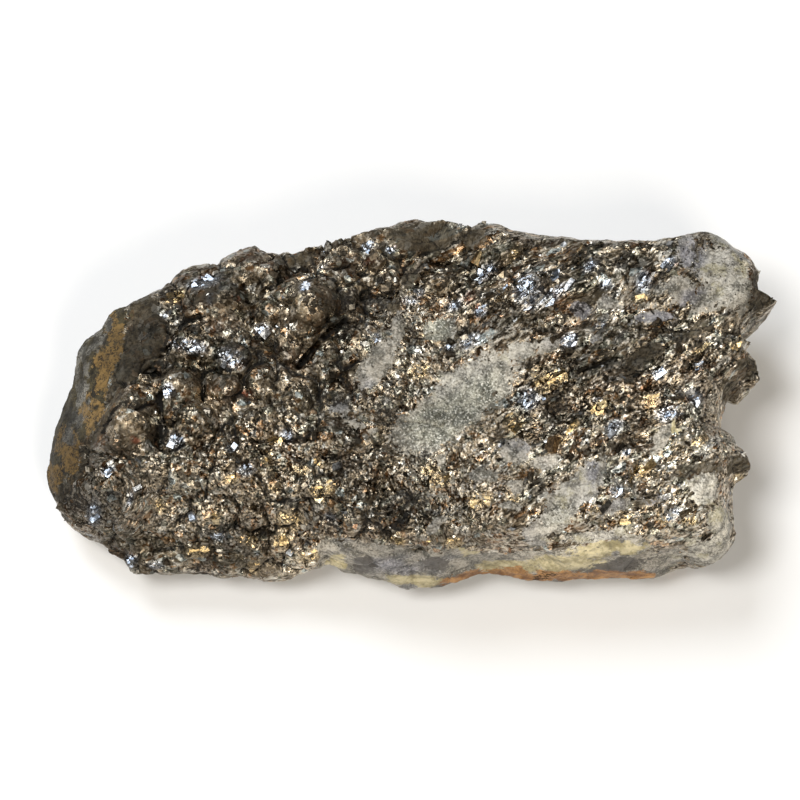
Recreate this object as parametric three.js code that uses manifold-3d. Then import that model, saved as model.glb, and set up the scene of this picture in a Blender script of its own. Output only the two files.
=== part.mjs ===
// A hand-sized piece of raw pyrite, grown in one piece with its quartz matrix.
// Units are millimetres and +Z is up. It lies on its flat matrix side, pyrite face up,
// with its length along X and its origin under the middle of its bounding box.

import * as THREE from 'three';
import Module from 'manifold-3d';
import { mergeVertices } from 'three/addons/utils/BufferGeometryUtils.js';

const wasm = await Module();
wasm.setup();

// ---- Driving dimensions ---------------------------------------------------------------

// How finely the sides and the wall are divided.
const CELLS_ALONG = 64;
const CELLS_ACROSS = 36;
const WALL_BANDS = 6;

// The widest outline, or belt, one list of [x, y, z] for each side. The near and far
// sides run from left to right, and the left and right sides from near to far.
const NEAR_BELT = [
  [-53.75, -20.25, 10], [-51.25, -21.25, 9.75], [-49, -23.5, 9.5], [-47, -24, 9.25], [-46, -26.5, 9],
  [-42.5, -26.5, 8.75], [-39.25, -26.25, 8.5], [-35.5, -26, 8.25], [-32.75, -25.75, 8], [-31, -26.5, 8],
  [-27.25, -26.75, 7.75], [-23.75, -27, 7.5], [-19.75, -27, 7.25], [-17, -26.25, 7.25], [-14.75, -25.75, 7],
  [-13, -24.5, 7], [-10, -25.75, 6.75], [-6.5, -26.75, 6.75], [-3.25, -27, 6.5], [-0.75, -28.25, 6.25],
  [2.5, -28.25, 6.25], [6, -28.25, 6], [9, -27.25, 6], [12.25, -26.25, 6], [16, -26.25, 6],
  [18.5, -26.75, 6], [22, -26.75, 6], [26.25, -26.75, 6], [30.75, -26.5, 6], [36, -26.5, 6.5],
  [41.5, -26.75, 7.5], [46, -25.75, 8.25], [50.25, -25.75, 9],
];
const RIGHT_BELT = [
  [50.25, -25.75, 9], [52.5, -24.75, 10], [54, -22.25, 11], [53.5, -16.75, 12], [55.75, -12.75, 13],
  [56.75, -10.25, 13], [54, -8.25, 13], [52.75, -6, 13], [53, -2.75, 14], [54.25, 1.25, 15],
  [57, 3.75, 16], [60, 5.5, 17], [58, 8.25, 16.75], [56, 10.75, 16.25], [58.25, 14, 16],
  [61.5, 16.5, 17], [61.5, 20.5, 18], [59.5, 23, 19.25], [58.25, 24.5, 20.75], [57, 26, 22],
];
const FAR_BELT = [
  [-46.5, 17.5, 21], [-42.25, 19.25, 21.5], [-38.75, 21.25, 22.25], [-36.25, 22.75, 22.5],
  [-32.25, 23.75, 23.25], [-28.25, 26, 24], [-24.75, 27, 24.25], [-22.25, 26, 24.5],
  [-19.25, 25.75, 24.75], [-16.5, 25.5, 25], [-14, 27, 25.25], [-11.25, 28.5, 25.5],
  [-7.5, 29.25, 25.75], [-3.75, 29, 25.75], [0, 29.75, 26], [3.5, 31.5, 26.25], [6.75, 31.75, 26.5],
  [9.75, 30.5, 26.25], [13, 29.5, 26.25], [16, 29, 26], [19.25, 28, 25.75], [22.5, 27.75, 25.5],
  [25.75, 27.5, 25.5], [29.25, 27.25, 25.25], [32.5, 27.25, 25], [35.75, 27, 24.75],
  [39.25, 27.5, 24.5], [41.75, 27.75, 24.5], [44.25, 28.5, 24.25], [47, 29.25, 24.25],
  [51.25, 29.5, 23.5], [54, 28, 22.75], [57, 26, 22],
];
const LEFT_BELT = [
  [-53.75, -20.25, 10], [-57, -17.5, 9.25], [-59, -14.5, 8.75], [-60.5, -9.5, 8], [-59.75, -4.75, 9],
  [-58.25, 2, 10], [-56.5, 7.75, 13], [-54.75, 11.75, 16], [-51.25, 15.25, 18.5], [-46.5, 17.5, 21],
];

// The bevel above the belt, as [place along the side from 0 to 1, inset, rim height]: where
// the top starts. The pyrite wraps down over the near left edge, the weathered rind slopes
// down on the left, and the matrix stands as a steep wall along the near right edge.
const NEAR_BEVEL = [[0, 2, 13], [0.36, 1.8, 12.5], [0.44, 1.6, 18], [0.5, 1.5, 23], [1, 1.8, 23.5]];
const RIGHT_BEVEL = [[0, 1.8, 23.5], [0.3, 1.8, 22.5], [0.6, 2, 22.5], [1, 1.8, 24.5]];
const FAR_BEVEL = [[0, 2, 23.5], [0.2, 1.6, 25.5], [0.5, 1.6, 27], [0.85, 1.6, 26], [1, 1.8, 24.5]];
const LEFT_BEVEL = [[0, 2, 13], [0.2, 5.5, 16.5], [0.45, 7.5, 19.5], [0.8, 6, 22], [1, 2, 23.5]];

// How the wall turns in below the belt, as [place along the side, bulge, foot inset].
const NEAR_FOOT = [[0, 0, 6], [0.5, 0, 4], [1, 0, 6]];
const RIGHT_FOOT = [[0, 0, 6], [0.5, -1, 8], [1, 0.5, 7]];
const FAR_FOOT = [[0, 0.5, 7], [0.3, 1.5, 6], [0.7, 2, 5], [1, 0.5, 7]];
const LEFT_FOOT = [[0, 0, 6], [0.4, -0.5, 9], [1, 0.5, 7]];
const HIP_SHARE = 0.35;
const SHOULDER_FULLNESS = 0.12;

// How many stations on each side even out the outline, and how much of that evenness the
// rim takes, so that the teeth of the belt slope up to it.
const OUTLINE_SMOOTHING = 6;
const RIM_EVENNESS = 0.5;

// The top's own height, and how far in from each side it is reached.
const TOP_LENGTH = 116;
const TOP_DEPTH = 54;
const PLATEAU_HEIGHT = 27;
const PLATEAU_FALL = 7;
const NEAR_SLOPE = [[0, 13], [0.34, 12], [0.5, 3], [1, 3]];
const LEFT_SLOPE = 8;
const RIGHT_SLOPE = 4;
const FAR_SLOPE = 5;

// The slope of the layers, or foliation, that run across the right half.
const FOLIATION_ANGLE = THREE.MathUtils.degToRad(38);
const LAYER_SPACING = 6.2;
const LAYER_HEIGHT = 1.7;
const LAYER_STEEP_SHARE = 0.3;
const LAYERS_FROM_X = 8;
const LAYERS_FULL_X = 28;
const WEAKEST_LAYER = 0.55;
const LAYER_WAVES = [
  { height: 0.22, rate: 0.21, start: 0 },
  { height: 0.12, rate: 0.47, start: 1.3 },
];

// Ovals fade out at this many times their half size. Lumps are flat over this share of it,
// and pits over the other.
const OVAL_REACH = 1.15;
const LUMP_FLAT_SHARE = 0.45;
const PIT_FLAT_SHARE = 0.2;

// Rounded pyrite masses on the top: [x, y, half length, half width, turn in degrees, height].
const LUMPS = [
  [-17.3, 13, 6.4, 6.8, 0, 3.6], [-45.4, -6, 4.6, 5.4, 0, 3.2], [-31.4, 15, 6.8, 4.4, 30, 2.4],
  [-33, 7.2, 7, 3.6, -5, 2.4], [-37.2, 0.3, 3.8, 3.6, 0, 2.2], [-28.1, 0.1, 4.6, 4, 0, 2.3],
  [-35.5, -6.9, 5, 3.4, 10, 2.5], [-40, -13.5, 6, 4.2, 0, 2.2], [-28.1, -13.5, 6.8, 5, 15, 2],
  [-47, -18, 5.6, 4, -20, 2.2], [-36.5, -20.5, 5.6, 4, 0, 2], [-24.5, -21.5, 5, 4, 0, 2.4],
  [-17.3, -19, 5.4, 4.6, 20, 1.8], [-14, -10.5, 6.2, 4.2, 25, 1.9], [-13.2, 20.3, 4.8, 2.6, 10, 2.2],
  [-24.7, 6.5, 4.4, 4.2, 0, 1.8], [-0.7, 24, 7, 3.6, 5, 2], [-1.6, 18.4, 3.2, 2.6, 0, 2],
  [-23.4, 20.5, 4.4, 2.8, 20, 1.9], [6.7, 20, 4.6, 3.2, 15, 2], [14.6, 23.5, 5, 3.2, 20, 2],
  [-22.5, -5.2, 4.8, 4.4, -10, 1.6], [10.2, 14.8, 5.6, 2.8, 20, 1.4], [43.5, 20, 6.5, 5.5, 40, 1.6],
  [-40.5, 10.5, 3.4, 3, 0, 1.4], [-6.5, -15.5, 5, 3.8, 30, 1.3], [23, 21, 6.4, 3.4, 30, 1.7],
];

// Hollows between them, in the same form, with a depth.
const PITS = [
  [-5.4, 15.2, 3, 2.3, -30, 4.6], [-40.6, 3.4, 3, 1.9, 20, 4], [-9.3, 12.6, 1.9, 3, 10, 3],
  [25.7, -3.4, 3, 2.4, 20, 3.4], [27.2, 11.7, 7.5, 1.9, 17, 3], [37.3, 4.4, 6, 2.9, 18, 2.6],
  [39, -8.7, 3.2, 1.9, 20, 2.2], [-26.2, 18, 3.2, 1.6, 20, 2], [-32.4, -9.9, 3.4, 1.4, 0, 2],
  [-20.2, -14.6, 2.6, 1.8, 30, 2.2], [44.5, -14, 5, 1.8, 25, 1.6], [46, 11, 4.6, 1.7, 30, 1.8],
];

// Open cracks: [x, y] to [x, y], and a depth. They are deepest within the first distance
// of their line, and end at the second.
const CRACK_CORE = 0.3;
const CRACK_REACH = 1.6;
const CRACKS = [
  [-33, 3.6, -32.6, -3, 3], [-35.4, 3.4, -30.6, 3.8, 2.2], [-9.8, 10.7, -17.3, 3.9, 3],
  [-22.4, 25, -17, 21.8, 2.4], [-41, -2.5, -39.2, -9.5, 2.6], [-30.5, -4.5, -24, -2.6, 2],
  [-12.6, 17.2, -6.6, 17.6, 2.2], [1, 21.6, 11.5, 22.6, 2], [17.8, 18.5, 15.6, 12.6, 2.2],
];

// The step that stands over the shadowed hollow: above this line the top is higher. It
// fades out past its ends, and behind its flat top.
const LEDGE = { from: [15.8, 11.5], to: [34, 17], height: 2.2, width: 1.6, flat: 2, fade: 9, end: 3 };

// Flat facets of broken stone: cell size and height of the coarse and the fine ones on the
// top, and of the larger ones on the wall, which are lowest at the belt.
const COARSE_FACET = { size: 6.5, height: 0.95, salt: 11 };
const FINE_FACET = { size: 3.1, height: 0.6, salt: 23 };
const WALL_FACET = { size: 11, height: 2.4, salt: 37 };
const WALL_FINE_FACET = { size: 5, height: 0.8, salt: 41 };
const FACET_LEVEL_SHARE = 0.6;
const FACET_TILT_SHARE = 0.9;
const BELT_FACET_SHARE = 0.3;
const BELT_REACH = 3.5;
const LAYER_STRETCH = 1.7;
const FLAT_FOOT_HEIGHT = 4;

// The rim keeps to its outline, so it takes little of the relief, and the rind on the left
// is worn smooth.
const RIM_RELIEF_SHARE = 0.15;
const RELIEF_GAIN_PER_CELL = 0.3;
const RIM_FACET_SHARE = 0.45;
const RIND_FACET_SHARE = 0.35;
const RIND_EDGE_X = -45;
const RIND_FADE = 8;

// How far in the rings of the underside lie, as shares of the way to its middle, and its
// shallow hollows: [x, y, radius, depth], deepest over a share of the radius. The rest of it
// is flat.
const UNDERSIDE_MIDDLE = [-1, 0, 0];
const UNDERSIDE_SHARES = [0.2, 0.45, 0.72];
const HOLLOW_FLAT_SHARE = 0.3;
const UNDERSIDE_HOLLOWS = [
  [-38, -8, 9, 1.6], [-30, 12, 7, 1.2], [34, 10, 9, 1.5], [30, -14, 8, 1.3], [-6, 20, 6, 1.1],
];

// Flat-faced crystals that stand out of the top: [x, y, length, width, height, turn, lean].
// The turn is about Z and the lean about the crystal's own length, both in degrees.
const CRYSTALS = [
  [32.4, -3.4, 2.8, 2.4, 3, 20, 14], [30.8, -2.2, 2.2, 2, 2.6, 48, -18],
  [25, 2, 5.4, 2.6, 2.6, 38, 16], [23.4, -1.4, 4.4, 2.4, 2.6, 34, -14],
  [40.6, -2.5, 3, 2.6, 3, 10, 20], [42.4, -1, 2.4, 2.2, 2.8, 40, -24],
  [44.8, -4.6, 4.2, 2.4, 2.6, 35, 12], [37.4, -6.6, 3.2, 2.2, 2.6, 30, 25],
  [8.4, -22.6, 2.8, 2.2, 2.6, 15, 22], [-1.1, -22.2, 3.4, 2, 2.8, -25, 18],
  [-29.7, -22.6, 3.6, 2.4, 3, 5, 30], [-15.6, -22.6, 3, 2.4, 2.8, 50, 24],
  [-24.2, -23.2, 3.2, 2.6, 2.8, 30, -20], [-36.3, 8.4, 3, 2.4, 3, 25, 28],
  [-42.9, 0.4, 2.8, 2.2, 2.8, 60, 22], [-50, -15.5, 3.2, 2.4, 2.8, 70, 18],
  [18.4, 15.6, 4.6, 2.4, 2.8, 30, 20], [21.6, 16.8, 4.2, 2.2, 2.6, 36, -16],
  [13, 19.5, 3.8, 2.2, 2.6, 45, 18], [-9.6, -9.4, 3.2, 2.6, 2.8, 20, 16],
  [9, 8.2, 4.2, 2.4, 2.6, 33, 14], [-11.2, 24.4, 3.2, 2.2, 2.6, -20, 18],
  [48, 3, 3.2, 2.4, 2.8, 30, 22], [49.4, -10.6, 3.2, 2.6, 2.8, 15, 24],
];
const CRYSTAL_DEPTH_SHARE = 0.6;
const CRYSTAL_TAPER = 0.82;
const CRYSTAL_TWIN_TURN = 52;
const CRYSTAL_TWIN_REACH = 0.42;
const CRYSTAL_TWIN_SHARE = 0.8;
const CORNER_WEAR = 0.16;

// ---- Numbers that look random but are the same every time -----------------------------

function hash(ix, iy, iz, salt) {
  let h = Math.imul(ix, 374761393) + Math.imul(iy, 668265263) + Math.imul(iz, 1274126177);
  h = Math.imul(h + Math.imul(salt, 974634777), 1103515245);
  h = Math.imul(h ^ (h >>> 15), 2246822519);
  h = Math.imul(h ^ (h >>> 13), 3266489917);
  return ((h ^ (h >>> 16)) >>> 0) / 4294967296;
}

// The height at a point of a surface broken into flat cells, each with its own level and
// tilt, from about -1 to 1.
function facetHeight(point, { size, salt }) {
  const q = point.clone().divideScalar(size);
  const base = q.clone().floor();
  let best = null;
  let nearest = Infinity;
  for (let dx = -1; dx <= 1; dx++) {
    for (let dy = -1; dy <= 1; dy++) {
      for (let dz = -1; dz <= 1; dz++) {
        const cell = [base.x + dx, base.y + dy, base.z + dz];
        const seed = new THREE.Vector3(...cell.map((c, i) => c + hash(...cell, salt + i)));
        const distance = seed.distanceToSquared(q);
        if (distance < nearest) {
          nearest = distance;
          best = { cell, seed };
        }
      }
    }
  }
  const slope = new THREE.Vector3(
    ...[3, 4, 5].map((i) => 2 * hash(...best.cell, salt + i) - 1),
  );
  const level = 2 * hash(...best.cell, salt + 6) - 1;
  return FACET_LEVEL_SHARE * level + FACET_TILT_SHARE * slope.dot(q.sub(best.seed));
}

// ---- Outline, rim and foot ------------------------------------------------------------

const smoothstep = THREE.MathUtils.smoothstep;

function sidePoints(belt, count) {
  const points = belt.map((p) => new THREE.Vector3(...p));
  return new THREE.CatmullRomCurve3(points, false, 'centripetal').getPoints(count);
}

// The two values after the first in each row, at a place between the rows.
function between(rows, place) {
  const last = rows.length - 2;
  const i = Math.min(last, Math.max(0, rows.findIndex((row) => row[0] > place) - 1));
  const at = place >= 1 ? last : i;
  const [start, ...from] = rows[at];
  const [end, ...to] = rows[at + 1];
  const share = THREE.MathUtils.clamp((place - start) / (end - start), 0, 1);
  return from.map((value, k) => THREE.MathUtils.lerp(value, to[k], share));
}

// Each station round the stone: its belt point, the bevel above it and the foot below it.
function stationsOfSide(belt, count, bevel, foot, backwards) {
  const points = sidePoints(belt, count);
  const stations = points.map((point, i) => {
    const [inset, rimHeight] = between(bevel, i / count);
    const [bulge, footInset] = between(foot, i / count);
    return { point, inset, rimHeight, bulge, footInset };
  });
  if (backwards) stations.reverse();
  return stations.slice(0, count);
}

const stations = [
  ...stationsOfSide(NEAR_BELT, CELLS_ALONG, NEAR_BEVEL, NEAR_FOOT, false),
  ...stationsOfSide(RIGHT_BELT, CELLS_ACROSS, RIGHT_BEVEL, RIGHT_FOOT, false),
  ...stationsOfSide(FAR_BELT, CELLS_ALONG, FAR_BEVEL, FAR_FOOT, true),
  ...stationsOfSide(LEFT_BELT, CELLS_ACROSS, LEFT_BEVEL, LEFT_FOOT, true),
];
const STATION_COUNT = stations.length;
const wrapped = (i) => (i + STATION_COUNT) % STATION_COUNT;

// The mean of a value over the stations on either side.
function smoothed(i, value) {
  const sum = new THREE.Vector3();
  for (let k = -OUTLINE_SMOOTHING; k <= OUTLINE_SMOOTHING; k++) {
    sum.add(value(stations[wrapped(i + k)], wrapped(i + k)));
  }
  return sum.divideScalar(2 * OUTLINE_SMOOTHING + 1);
}

stations.forEach((station, i) => {
  station.evenPoint = smoothed(i, (s) => s.point);
});
stations.forEach((station, i) => {
  const along = new THREE.Vector3().subVectors(
    stations[wrapped(i + 2)].evenPoint,
    stations[wrapped(i - 2)].evenPoint,
  );
  station.inward = new THREE.Vector3(-along.y, along.x, 0).normalize();
});
stations.forEach((station, i) => {
  station.inward = smoothed(i, (s) => s.inward).normalize();
});

for (const station of stations) {
  const { point, evenPoint, inward, inset, rimHeight, bulge, footInset } = station;
  const rimPoint = point.clone().lerp(evenPoint, RIM_EVENNESS);
  rimPoint.addScaledVector(inward, inset).setZ(rimHeight);
  const foot = evenPoint.clone().addScaledVector(inward, footInset).setZ(0);
  const hip = point.clone().lerp(foot, HIP_SHARE).addScaledVector(inward, -bulge);
  hip.z = point.z / 2;
  const shoulder = rimPoint.clone().lerp(point, 0.5);
  shoulder.addScaledVector(inward, -SHOULDER_FULLNESS * inset);
  station.profile = new THREE.CatmullRomCurve3([rimPoint, shoulder, point, hip, foot]);
}

// ---- Top surface ----------------------------------------------------------------------

// 1 at the middle of an oval and 0 at its edge, with a broad top and steep sides.
function ovalShare(x, y, [cx, cy, halfLength, halfWidth, turn], flatShare) {
  const angle = THREE.MathUtils.degToRad(turn);
  const dx = x - cx;
  const dy = y - cy;
  const u = (dx * Math.cos(angle) + dy * Math.sin(angle)) / halfLength;
  const v = (-dx * Math.sin(angle) + dy * Math.cos(angle)) / halfWidth;
  return 1 - smoothstep(Math.hypot(u, v), flatShare, OVAL_REACH);
}

function segmentDistance(x, y, ax, ay, bx, by) {
  const length = (bx - ax) ** 2 + (by - ay) ** 2;
  const share = ((x - ax) * (bx - ax) + (y - ay) * (by - ay)) / length;
  const t = THREE.MathUtils.clamp(share, 0, 1);
  return Math.hypot(x - ax - t * (bx - ax), y - ay - t * (by - ay));
}

// Layers that step down towards the lower right, each with a steep near edge.
function layerHeight(x, y) {
  const across = -x * Math.sin(FOLIATION_ANGLE) + y * Math.cos(FOLIATION_ANGLE);
  const along = x * Math.cos(FOLIATION_ANGLE) + y * Math.sin(FOLIATION_ANGLE);
  let place = across / LAYER_SPACING;
  for (const { height, rate, start } of LAYER_WAVES) {
    place += height * Math.sin(along * rate + start);
  }
  const share = place - Math.floor(place);
  const steep = share / LAYER_STEEP_SHARE;
  const gentle = (1 - share) / (1 - LAYER_STEEP_SHARE);
  const profile = Math.min(steep, gentle);
  const strength = THREE.MathUtils.lerp(WEAKEST_LAYER, 1, hash(Math.floor(place), 0, 0, 0));
  return LAYER_HEIGHT * strength * profile * smoothstep(x, LAYERS_FROM_X, LAYERS_FULL_X);
}

function ledgeHeight(x, y) {
  const [ax, ay] = LEDGE.from;
  const [bx, by] = LEDGE.to;
  const length = Math.hypot(bx - ax, by - ay);
  const along = ((x - ax) * (bx - ax) + (y - ay) * (by - ay)) / length;
  const across = ((y - ay) * (bx - ax) - (x - ax) * (by - ay)) / length;
  const start = smoothstep(along, -LEDGE.end, LEDGE.end);
  const stop = 1 - smoothstep(along, length - LEDGE.end, length + LEDGE.end);
  const rise = smoothstep(across, -LEDGE.width / 2, LEDGE.width / 2);
  const behind = 1 - smoothstep(across, LEDGE.flat, LEDGE.fade);
  return LEDGE.height * start * stop * rise * behind;
}

function reliefHeight(x, y) {
  let height = 0;
  for (const lump of LUMPS) {
    height = Math.max(height, lump[5] * ovalShare(x, y, lump, LUMP_FLAT_SHARE));
  }
  height += layerHeight(x, y) + ledgeHeight(x, y);
  for (const pit of PITS) height -= pit[5] * ovalShare(x, y, pit, PIT_FLAT_SHARE);
  for (const [ax, ay, bx, by, depth] of CRACKS) {
    const distance = segmentDistance(x, y, ax, ay, bx, by);
    height -= depth * (1 - smoothstep(distance, CRACK_CORE, CRACK_REACH));
  }
  return height;
}

// How far the top has risen from its rim to its full height, from 0 to 1, at a distance in
// from each side.
function riseShare(s, t) {
  const [nearSlope] = between(NEAR_SLOPE, s);
  const fromLeft = smoothstep(s * TOP_LENGTH, 0, LEFT_SLOPE);
  const fromRight = smoothstep((1 - s) * TOP_LENGTH, 0, RIGHT_SLOPE);
  const fromNear = smoothstep(t * TOP_DEPTH, 0, nearSlope);
  const fromFar = smoothstep((1 - t) * TOP_DEPTH, 0, FAR_SLOPE);
  return fromLeft * fromRight * fromNear * fromFar;
}

function plateauHeight(x, y) {
  const spread = (x / TOP_LENGTH) ** 2 + (y / TOP_DEPTH) ** 2;
  return PLATEAU_HEIGHT - PLATEAU_FALL * spread;
}

// A Coons patch: the surface that spans the four stretches of the rim.
const rimAt = (i) => stations[wrapped(i)].profile.points[0];
const nearRim = (i) => rimAt(i);
const rightRim = (j) => rimAt(CELLS_ALONG + j);
const farRim = (i) => rimAt(2 * CELLS_ALONG + CELLS_ACROSS - i);
const leftRim = (j) => rimAt(2 * CELLS_ALONG + 2 * CELLS_ACROSS - j);

function topPoint(i, j) {
  const s = i / CELLS_ALONG;
  const t = j / CELLS_ACROSS;
  const point = new THREE.Vector3()
    .addScaledVector(nearRim(i), 1 - t)
    .addScaledVector(farRim(i), t)
    .addScaledVector(leftRim(j), 1 - s)
    .addScaledVector(rightRim(j), s)
    .addScaledVector(nearRim(0), -(1 - s) * (1 - t))
    .addScaledVector(nearRim(CELLS_ALONG), -s * (1 - t))
    .addScaledVector(farRim(0), -(1 - s) * t)
    .addScaledVector(farRim(CELLS_ALONG), -s * t);
  const edge = Math.min(i, j, CELLS_ALONG - i, CELLS_ACROSS - j);
  const hold = Math.min(1, RIM_RELIEF_SHARE + RELIEF_GAIN_PER_CELL * edge);
  point.z = THREE.MathUtils.lerp(point.z, plateauHeight(point.x, point.y), riseShare(s, t));
  point.z += hold * reliefHeight(point.x, point.y);
  return point;
}

// ---- Assembling the closed surface ----------------------------------------------------

const vertices = [];
const triangles = [];

function addVertex(point) {
  vertices.push(point);
  return vertices.length - 1;
}

function addQuad(a, b, c, d) {
  const flip = vertices[a].distanceTo(vertices[c]) > vertices[b].distanceTo(vertices[d]);
  if (flip) triangles.push([a, b, d], [b, c, d]);
  else triangles.push([a, b, c], [a, c, d]);
}

const topGrid = [];
for (let i = 0; i <= CELLS_ALONG; i++) {
  topGrid.push([]);
  for (let j = 0; j <= CELLS_ACROSS; j++) topGrid[i].push(addVertex(topPoint(i, j)));
}
for (let i = 0; i < CELLS_ALONG; i++) {
  for (let j = 0; j < CELLS_ACROSS; j++) {
    addQuad(topGrid[i][j], topGrid[i + 1][j], topGrid[i + 1][j + 1], topGrid[i][j + 1]);
  }
}
const topVertexCount = vertices.length;

function rimRing() {
  const ring = [];
  for (let i = 0; i < CELLS_ALONG; i++) ring.push(topGrid[i][0]);
  for (let j = 0; j < CELLS_ACROSS; j++) ring.push(topGrid[CELLS_ALONG][j]);
  for (let i = CELLS_ALONG; i > 0; i--) ring.push(topGrid[i][CELLS_ACROSS]);
  for (let j = CELLS_ACROSS; j > 0; j--) ring.push(topGrid[0][j]);
  return ring;
}

const rim = rimRing();
let upperRing = rim;
for (let band = 1; band <= WALL_BANDS; band++) {
  const lowerRing = stations.map(({ profile }, i) => {
    const rimShift = vertices[rim[i]].z - profile.points[0].z;
    const point = profile.getPointAt(band / WALL_BANDS);
    point.z += rimShift * Math.max(0, 1 - (2 * band) / WALL_BANDS);
    return addVertex(point);
  });
  stations.forEach((_, i) => {
    const next = wrapped(i + 1);
    addQuad(lowerRing[i], lowerRing[next], upperRing[next], upperRing[i]);
  });
  upperRing = lowerRing;
}

function undersidePoint(ringPoint, centre, share) {
  const point = ringPoint.clone().lerp(centre, share);
  for (const [cx, cy, radius, depth] of UNDERSIDE_HOLLOWS) {
    const distance = Math.hypot(point.x - cx, point.y - cy);
    point.z += depth * (1 - smoothstep(distance, HOLLOW_FLAT_SHARE * radius, radius));
  }
  return point;
}

// The underside: rings that halve in number towards the middle.
const footRing = upperRing.map((index) => vertices[index]);
const centre = new THREE.Vector3(...UNDERSIDE_MIDDLE);
let outerRing = upperRing;
for (const [step, share] of UNDERSIDE_SHARES.entries()) {
  const every = 2 ** (step + 1);
  const innerRing = [];
  for (let i = 0; i < STATION_COUNT; i += every) {
    innerRing.push(addVertex(undersidePoint(footRing[i], centre, share)));
  }
  const outer = (i) => outerRing[i % outerRing.length];
  innerRing.forEach((inner, i) => {
    const nextInner = innerRing[(i + 1) % innerRing.length];
    triangles.push([inner, outer(2 * i + 1), outer(2 * i)]);
    triangles.push([inner, nextInner, outer(2 * i + 1)]);
    triangles.push([nextInner, outer(2 * i + 2), outer(2 * i + 1)]);
  });
  outerRing = innerRing;
}
const middle = addVertex(centre);
outerRing.forEach((inner, i) => {
  triangles.push([middle, outerRing[(i + 1) % outerRing.length], inner]);
});

// ---- Broken facets --------------------------------------------------------------------

function indexedGeometry(points, faces) {
  const geometry = new THREE.BufferGeometry();
  const positions = new Float32Array(points.flatMap((p) => p.toArray()));
  geometry.setAttribute('position', new THREE.BufferAttribute(positions, 3));
  geometry.setIndex(faces.flat());
  return geometry;
}

// The place of a point in the layers, whose facets are long along the foliation.
function layerSpace(point) {
  const turned = point.clone().applyAxisAngle(new THREE.Vector3(0, 0, 1), -FOLIATION_ANGLE);
  turned.x /= LAYER_STRETCH;
  return turned;
}

function topFacetHeight(point, onRim) {
  const heightAt = (place) =>
    COARSE_FACET.height * facetHeight(place, COARSE_FACET) +
    FINE_FACET.height * facetHeight(place, FINE_FACET);
  const layered = smoothstep(point.x, LAYERS_FROM_X, LAYERS_FULL_X);
  const height = THREE.MathUtils.lerp(heightAt(point), heightAt(layerSpace(point)), layered);
  return onRim ? RIM_FACET_SHARE * height : height;
}

function wallFacetHeight(point, beltHeight) {
  const fromBelt = Math.abs(point.z - beltHeight);
  const share = BELT_FACET_SHARE + (1 - BELT_FACET_SHARE) * smoothstep(fromBelt, 0, BELT_REACH);
  const height =
    WALL_FACET.height * facetHeight(point, WALL_FACET) +
    WALL_FINE_FACET.height * facetHeight(point, WALL_FINE_FACET);
  const worn = smoothstep(point.x, RIND_EDGE_X - RIND_FADE, RIND_EDGE_X);
  const wear = THREE.MathUtils.lerp(RIND_FACET_SHARE, 1, worn);
  return share * wear * smoothstep(point.z, 0, FLAT_FOOT_HEIGHT) * height;
}

function breakIntoFacets() {
  const geometry = indexedGeometry(vertices, triangles);
  geometry.computeVertexNormals();
  const normals = geometry.getAttribute('normal');
  const onRim = new Set(rim);
  vertices.forEach((point, i) => {
    const onTop = i < topVertexCount;
    const beltHeight = onTop ? 0 : stations[(i - topVertexCount) % STATION_COUNT].point.z;
    const height = onTop
      ? topFacetHeight(point, onRim.has(i))
      : wallFacetHeight(point, beltHeight);
    const normal = new THREE.Vector3().fromBufferAttribute(normals, i);
    point.addScaledVector(normal, height);
  });
}
breakIntoFacets();

// ---- Crystals -------------------------------------------------------------------------

function solidOf(geometry) {
  const bare = geometry.clone();
  bare.deleteAttribute('normal');
  bare.deleteAttribute('uv');
  const merged = mergeVertices(bare);
  const vertProperties = new Float32Array(merged.getAttribute('position').array);
  const triVerts = new Uint32Array(merged.getIndex().array);
  return new wasm.Manifold(new wasm.Mesh({ numProp: 3, vertProperties, triVerts }));
}

function geometryOf(solid) {
  const { vertProperties, triVerts, numProp } = solid.getMesh();
  const geometry = new THREE.BufferGeometry();
  const count = vertProperties.length / numProp;
  const positions = new Float32Array(3 * count);
  for (let i = 0; i < count; i++) {
    for (let k = 0; k < 3; k++) positions[3 * i + k] = vertProperties[numProp * i + k];
  }
  geometry.setAttribute('position', new THREE.BufferAttribute(positions, 3));
  geometry.setIndex([...triVerts]);
  return geometry;
}

// A crystal: a block that narrows towards its free end, with its corners worn unevenly.
function crystalGeometry([x, y, length, width, height, turn, lean], groundHeight, salt) {
  const geometry = new THREE.BoxGeometry(length, width, height);
  const corners = geometry.getAttribute('position');
  for (let i = 0; i < corners.count; i++) {
    const corner = new THREE.Vector3().fromBufferAttribute(corners, i);
    const signs = corner.toArray().map(Math.sign);
    const narrowing = signs[2] > 0 ? CRYSTAL_TAPER : 1;
    const worn = (k) => 1 - CORNER_WEAR * hash(...signs, salt + k);
    corner.multiply(new THREE.Vector3(narrowing * worn(0), narrowing * worn(1), worn(2)));
    corners.setXYZ(i, ...corner);
  }
  geometry.rotateX(THREE.MathUtils.degToRad(lean));
  geometry.rotateZ(THREE.MathUtils.degToRad(turn));
  geometry.translate(x, y, groundHeight + height * (0.5 - CRYSTAL_DEPTH_SHARE));
  return geometry;
}

// The smaller crystal that grew across each crystal's side.
function twinOf([x, y, length, width, height, turn, lean]) {
  const angle = THREE.MathUtils.degToRad(turn);
  const reach = CRYSTAL_TWIN_REACH * length;
  const twinX = x + reach * Math.cos(angle);
  const twinY = y + reach * Math.sin(angle);
  const sides = [length, width, height].map((side) => CRYSTAL_TWIN_SHARE * side);
  return [twinX, twinY, ...sides, turn + CRYSTAL_TWIN_TURN, -lean];
}

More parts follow.
